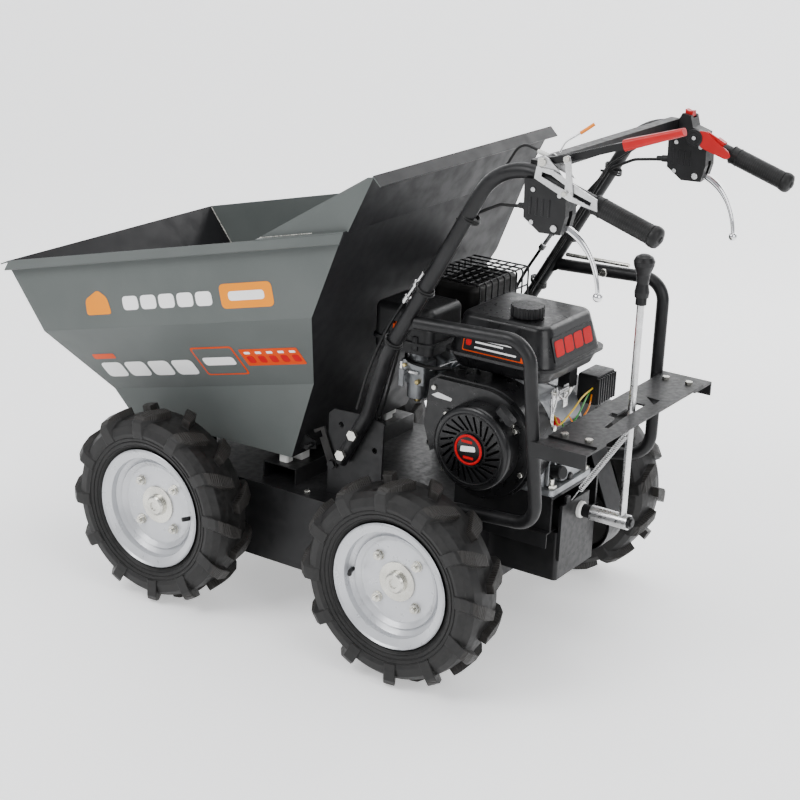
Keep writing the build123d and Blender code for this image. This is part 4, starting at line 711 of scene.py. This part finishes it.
boxes(
    "regulator_box", [((-0.150, 0.402, 0.470), (-0.078, 0.446, 0.530))], "black_plastic", "chassis",
    0.004,
)
boxes(
    "regulator_fins",
    [((-0.146 + k * 0.0095, 0.444, 0.474), (-0.1415 + k * 0.0095, 0.452, 0.526)) for k in range(8)],
    "black_plastic", "chassis", 0.0006,
)
boxes(
    "crankcase_ribs",
    [((-0.052 + k * 0.022, 0.4318, 0.352), (-0.048 + k * 0.022, 0.440, 0.420)) for k in range(7)], "cast_alu",
    "chassis", 0.001,
)
cylinders(
    "oil_fillers",
    [
        ((0.066, 0.430, 0.376), (0.074, 0.466, 0.384), 0.013),
        ((0.066, 0.250, 0.376), (0.070, 0.222, 0.384), 0.013),
        ((0.010, 0.440, 0.352), (0.010, 0.4505, 0.352), 0.0085),
    ],
    "black_plastic", "chassis", 20, 0.002,
)
cylinders(
    "crankcase_bolts",
    [((-0.030 + k * 0.040, 0.436, 0.440), (-0.030 + k * 0.040, 0.4405, 0.440), 0.006) for k in range(3)],
    "zinc", "chassis", 6, 0.0008,
)
revolve(
    "oil_switch", [(0, 0), (0.009, 0), (0.009, 0.010), (0.006, 0.014), (0, 0.014)], (0.052, 0.424, 0.470),
    (0.2, 0.95, 0.25), "red_plastic", "chassis",
)

tubes(
    "engine_wires_yellow",
    [
        (
            [
                (0.060, 0.430, 0.486), (0.078, 0.452, 0.478), (0.050, 0.462, 0.500), (0.000, 0.455, 0.512),
                (-0.070, 0.440, 0.508),
            ],
            0.0016,
        )
    ],
    "yellow_wire", "chassis",
)
tubes(
    "engine_wires_green",
    [
        (
            [
                (0.040, 0.436, 0.470), (0.058, 0.456, 0.462), (0.030, 0.464, 0.486), (-0.020, 0.452, 0.500),
                (-0.076, 0.432, 0.500),
            ],
            0.0016,
        )
    ],
    "green_wire", "chassis",
)
tubes(
    "engine_wires_orange",
    [
        (
            [(0.020, 0.438, 0.478), (0.010, 0.452, 0.460), (-0.030, 0.454, 0.480), (-0.076, 0.436, 0.492)],
            0.0016,
        )
    ],
    "orange_tip", "chassis",
)
tubes("governor_rods", [
    ([(0.088, 0.442, 0.500), (0.088, 0.448, 0.545), (0.080, 0.420, 0.553), (0.080, 0.300, 0.553)], 0.0018),
    ([(0.070, 0.440, 0.536), (0.050, 0.444, 0.520), (0.020, 0.446, 0.538)], 0.0018),
    ([(0.100, 0.175, 0.530), (0.098, 0.230, 0.560), (0.092, 0.262, 0.556)], 0.0016),
], "steel", "chassis")
boxes(
    "governor_lever",
    [
        ((0.082, 0.4385, 0.462), (0.094, 0.4415, 0.548)), ((0.052, 0.438, 0.520), (0.096, 0.441, 0.530)),
        ((0.030, 0.4375, 0.500), (0.046, 0.4405, 0.545)),
    ],
    "steel", "chassis", 0.0008,
)
cylinders(
    "governor_pins",
    [
        ((0.088, 0.434, 0.472), (0.088, 0.449, 0.472), 0.006),
        ((0.088, 0.436, 0.540), (0.088, 0.447, 0.540), 0.0042),
        ((0.038, 0.436, 0.536), (0.038, 0.450, 0.536), 0.0055),
    ],
    "zinc", "chassis", 12, 0.0008,
)


def helix(start, end, radius, turns, per_turn=14, hook=0.0):
    """Points of a coil between two points."""
    start = Vector(start)
    end = Vector(end)
    place = aligned(end - start)
    length = (end - start).length
    points = []
    total = int(turns * per_turn)
    for k in range(total + 1):
        t = k / total
        a = 2 * pi * turns * t
        points.append(
            start + place.to_3x3() @ Vector(
                (radius * cos(a), radius * sin(a), hook + (length - 2 * hook) * t)
            )
        )
    return [start] + points + [end] if hook > 0 else points


tubes(
    "governor_spring", [(helix((0.040, 0.446, 0.541), (0.086, 0.446, 0.541), 0.0035, 14, 10, 0.005), 0.0007)],
    "steel", "chassis", 6, False,
)
tubes(
    "fuel_hose",
    [([(0.058, 0.262, 0.562), (0.062, 0.248, 0.545), (0.080, 0.210, 0.520), (0.086, 0.178, 0.512)], 0.0045)],
    "rubber", "chassis",
)
tubes(
    "ignition_lead",
    [
        (
            [
                (0.015, 0.124, 0.520), (0.016, 0.100, 0.528), (0.060, 0.098, 0.545), (0.122, 0.140, 0.548),
                (0.140, 0.205, 0.552), (0.130, 0.240, 0.556),
            ],
            0.0038,
        )
    ],
    "rubber", "chassis",
)
revolve(
    "spark_plug_boot", [(0, 0), (0.010, 0), (0.011, 0.018), (0.009, 0.030), (0, 0.031)],
    (0.015, 0.134, 0.514), (0, -0.94, 0.342), "rubber", "chassis",
)
torus_rings(
    "hose_clips",
    [
        ((0.060, 0.254, 0.553), (0.15, -0.6, -0.7), 0.0052, 0.0008),
        ((0.084, 0.184, 0.514), (0.15, -0.9, -0.25), 0.0052, 0.0008),
    ],
    "steel", "chassis", 20, 6,
)
boxes(
    "choke_parts",
    [((0.1165, 0.132, 0.522), (0.121, 0.160, 0.528)), ((0.100, 0.112, 0.506), (0.112, 0.119, 0.540))],
    "steel", "chassis", 0.0008,
)
cylinders(
    "carburettor_screws",
    [
        ((0.094, 0.145, 0.470), (0.094, 0.145, 0.460), 0.007),
        ((0.116, 0.128, 0.536), (0.122, 0.128, 0.536), 0.004),
        ((0.116, 0.160, 0.508), (0.124, 0.160, 0.508), 0.005),
        ((0.080, 0.119, 0.514), (0.080, 0.110, 0.514), 0.004),
    ],
    "gold_cap", "chassis", 10, 0.0008,
)
boxes(
    "filter_clips",
    [
        ((0.1395, 0.092, 0.578), (0.1430, 0.104, 0.606)), ((0.1395, 0.158, 0.578), (0.1430, 0.170, 0.606)),
        ((0.074, 0.058, 0.578), (0.086, 0.0665, 0.606)),
    ],
    "black_plastic", "chassis", 0.001,
)
cylinders(
    "filter_wing_nut", [((0.080, 0.132, 0.670), (0.080, 0.132, 0.676), 0.006)], "zinc", "chassis", 12,
    0.001,
)
boxes(
    "filter_label",
    [((0.1400, 0.112, 0.622), (0.1404, 0.150, 0.627)), ((0.1400, 0.112, 0.606), (0.1404, 0.118, 0.627))],
    "orange_deep", "chassis", 0.0,
)
boxes(
    "muffler_louvres",
    [((-0.180 + k * 0.020, 0.110, 0.6675), (-0.170 + k * 0.020, 0.172, 0.6705)) for k in range(7)],
    "dark_steel", "chassis", 0.0012,
)
cylinders(
    "muffler_outlet", [((-0.192, 0.141, 0.625), (-0.212, 0.141, 0.625), 0.012)], "dark_steel", "chassis",
    24, 0.001,
)

# ------------------------------------------------------------------ frame trim
bolts = []
for side in SIDES:
    for y in (-0.36, -0.21, -0.02, 0.19):
        bolts.append(((side * 0.226, y, 0.2645), (side * 0.226, y, 0.2695), 0.0062))
    bolts.append(((side * 0.2445, 0.300, 0.236), (side * 0.2500, 0.300, 0.236), 0.0062))
    bolts.append(((side * 0.2445, 0.300, 0.135), (side * 0.2500, 0.300, 0.135), 0.0062))
cylinders("chassis_bolts", bolts, "zinc", "chassis", 6, 0.0008)
cylinders(
    "engine_studs", [((x, y, 0.353), (x, y, 0.366), 0.0045) for x in (-0.050, 0.076) for y in (0.251, 0.443)],
    "zinc", "chassis", 12, 0.0008,
)
revolve(
    "selector_bush", [(0, 0), (0.0165, 0), (0.0165, 0.006), (0.0135, 0.009), (0, 0.009)], (0, 0.4682, 0.286),
    (0, 1, 0), "white_pad", "chassis",
)
coil = tubes(
    "selector_spring_coil",
    [(helix((0.048, 0.474, 0.322), (0.046, 0.592, 0.5046), 0.0050, 34, 12, 0.030), 0.0011)], "steel",
    "chassis", 6, False,
)
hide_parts("selector_spring")
revolve(
    "lever_collar", [(0, 0), (0.0105, 0), (0.0105, 0.012), (0.0085, 0.015), (0, 0.015)], (0, 0.560, 0.716),
    (0, 0, 1), "black_plastic", "gear_lever",
)

# ------------------------------------------------------------------ handlebar trim
GRIP_FALL = 0.3172
GRIP_DIR = Vector((0, 1, -GRIP_FALL)).normalized()


def grip_point(x, y):
    """Point on a grip's axis."""
    return Vector((x, y, 1.1446 - GRIP_FALL * y))


rings = []
for side in SIDES:
    x = side * HANDLE_X
    for k in range(20):
        rings.append((grip_point(x, 0.612 + k * 0.0042), GRIP_DIR, 0.0168, 0.0005))
    for y in (0.594, 0.606, 0.6985):
        rings.append((grip_point(x, y), GRIP_DIR, 0.0170, 0.0012))
    revolve(
        "grip_end_left" if side > 0 else "grip_end_right",
        [
            (0, 0), (0.0186, 0), (0.0192, 0.002), (0.0190, 0.008), (0.0172, 0.0125), (0.013, 0.0150),
            (0.0068, 0.0160), (0.006, 0.0180), (0, 0.0184),
        ],
        grip_point(x, 0.7010), GRIP_DIR, "rubber", "chassis",
    )
torus_rings("grip_ribs", rings, "rubber", "chassis", 40, 6)

LEVER_PIVOT = (0.528, 0.908)
LEVER_SPINE = [
    (0.512, 0.926), (0.524, 0.914), (0.548, 0.905), (0.570, 0.891), (0.588, 0.870), (0.600, 0.846),
    (0.607, 0.822), (0.610, 0.802),
]
for side in SIDES:
    x = side * HANDLE_X
    route = smooth_route([(x, y, z) for y, z in LEVER_SPINE])
    last = len(route) - 1
    radii = [
        0.0050 + 0.0022 * sin(pi * min(1.0, k / last * 1.6)) - 0.0012 * (k / last)
        for k in range(last + 1)
    ]
    lever_mesh = bmesh.new()
    add_tube(lever_mesh, route, radii, 14)
    add_cylinder(lever_mesh, (x - 0.006, *LEVER_PIVOT), (x + 0.006, *LEVER_PIVOT), 0.0105, 24, 0.001)
    ball = Matrix.Translation(Vector((x, 0.610, 0.800)))
    turned(
        lever_mesh, [(0.0085 * sin(radians(a)), -0.0085 * cos(radians(a))) for a in range(0, 181, 15)], ball,
        24,
    )
    bmesh.ops.recalc_face_normals(lever_mesh, faces=lever_mesh.faces)
    name = "left" if side > 0 else "right"
    blade = finish_mesh(f"brake_blade_{name}", lever_mesh, "chrome", f"brake_{name}")
    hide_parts(f"brake_lever_{name}")

STRAP_X = 0.268
straps = []
for side in SIDES:
    for y, z in ((0.349, 0.893), (0.198, 0.634), (0.262, 0.745)):
        for shift in (-0.002, 0.002):
            straps.append(((side * STRAP_X, y, z + shift * 1.2), (0, 0.49, 0.87), 0.0172, 0.0022))
torus_rings("cable_straps", straps, "rubber", "chassis", 36, 8)
boxes(
    "strap_tails",
    [
        ((side * STRAP_X - 0.003, 0.349 - 0.028, 0.884), (side * STRAP_X + 0.003, 0.349 - 0.014, 0.888))
        for side in SIDES
    ],
    "rubber", "chassis", 0.0006,
)

CABLE_X = 0.250
CABLE_A = Vector((0, 0.206, 0.706))
CABLE_B = Vector((0, 0.247, 0.770))
adjuster = []
outer_cables = []
for side in SIDES:
    a = CABLE_A + Vector((side * CABLE_X, 0, 0))
    b = CABLE_B + Vector((side * CABLE_X, 0, 0))
    step = b - a
    adjuster.append((a, b, 0.0042))
    adjuster.append((a + step * 0.05, a + step * 0.22, 0.0068))
    adjuster.append((a + step * 0.58, a + step * 0.70, 0.0068))
    outer_cables.append(
        (
            [(side * 0.232, 0.098, 0.470), (side * 0.246, 0.132, 0.560), (side * 0.250, 0.170, 0.645), a],
            0.0032,
        )
    )
    outer_cables.append(([b, (side * 0.254, 0.300, 0.838), (side * 0.262, 0.348, 0.900)], 0.0032))
cylinders("cable_adjusters", adjuster, "steel", "chassis", 12, 0.0006)
tubes("outer_cables", outer_cables, "rubber", "chassis")
barrels = []
for side in SIDES:
    barrels.append(((side * 0.268, 0.470, 0.931), (side * 0.2655, 0.452, 0.930), 0.0068))
    barrels.append(((side * 0.2655, 0.452, 0.930), (side * 0.264, 0.442, 0.929), 0.0052))
cylinders("lever_barrels", barrels, "black_plastic", "chassis", 20, 0.001)
screws = []
for side in SIDES:
    for y, z in ((0.484, 0.912), (0.535, 0.965), (0.484, 0.968)):
        screws.append(((side * HANDLE_X + 0.0188, y, z), (side * HANDLE_X + 0.0215, y, z), 0.0042))
    screws.append(
        ((side * HANDLE_X + 0.0188, *LEVER_PIVOT), (side * HANDLE_X + 0.0222, *LEVER_PIVOT), 0.0062)
    )
cylinders("lever_screws", screws, "steel", "chassis", 16, 0.0008)
boxes(
    "lever_block_ribs",
    [
        (
            (side * HANDLE_X - 0.0202, 0.478 + k * 0.012, 0.925),
            (side * HANDLE_X + 0.0202, 0.482 + k * 0.012, 0.955),
        )
        for side in SIDES
        for k in range(4)
    ],
    "black_plastic", "chassis", 0.0008,
)
tubes(
    "trigger_wire",
    [([(0.262, 0.512, 1.030), (0.256, 0.520, 1.048), (0.250, 0.532, 1.058), (0.246, 0.540, 1.064)], 0.0016)],
    "steel", "clutch",
)
tubes(
    "trigger_sleeve", [([(0.246, 0.540, 1.064), (0.240, 0.552, 1.074), (0.236, 0.560, 1.081)], 0.0030)],
    "orange_tip", "clutch",
)
revolve(
    "clutch_ferrule", [(0, 0), (0.0042, 0), (0.0042, 0.022), (0.003, 0.026), (0, 0.026)],
    (0.2552, 0.4905, 1.0195), (-0.15, -0.97, 0.17), "white_pad", "chassis",
)
cylinders(
    "clutch_rivets", [((0.2925, 0.497, 1.016), (0.2955, 0.497, 1.016), 0.0075)], "zinc", "chassis",
    20, 0.0008,
)
cylinders(
    "link_bolts",
    [
        ((0.3028, 0.548, 1.030), (0.3062, 0.548, 1.030), 0.0060),
        ((0.3028, 0.548, 0.972), (0.3062, 0.548, 0.972), 0.0050),
    ],
    "zinc", "clutch_link", 6, 0.0008,
)
THROTTLE_PIVOT = (0.527, 0.984)
flat_shape(
    "throttle_blade",
    [
        (0.536, 0.999), (0.552, 0.999), (0.572, 0.984), (0.598, 0.968), (0.603, 0.958), (0.594, 0.952),
        (0.566, 0.960), (0.540, 0.968),
    ],
    (-0.2432, 0, 0), ALONG, UPWARD, 0.0030, "red_plastic", "throttle", 0.004,
)
cylinders(
    "throttle_disc", [((-0.2430, *THROTTLE_PIVOT), (-0.2378, *THROTTLE_PIVOT), 0.0168)], "black_plastic",
    "throttle", 40, 0.0012,
)
torus_rings(
    "throttle_disc_rings", [((-0.2378, *THROTTLE_PIVOT), (1, 0, 0), r, 0.0008) for r in (0.0135, 0.0075)],
    "black_plastic", "throttle", 32, 6,
)
cylinders(
    "throttle_screw", [((-0.2380, *THROTTLE_PIVOT), (-0.2362, *THROTTLE_PIVOT), 0.0040)], "steel", "throttle",
    16, 0.0008,
)
cylinders(
    "guard_bolts",
    [
        ((-0.2560, 0.352, 0.6845), (-0.2490, 0.352, 0.6845), 0.0085),
        ((-0.2600, 0.262, 0.7050), (-0.2600, 0.405, 0.7075), 0.0042),
    ],
    "zinc", "chassis", 12, 0.0008,
)
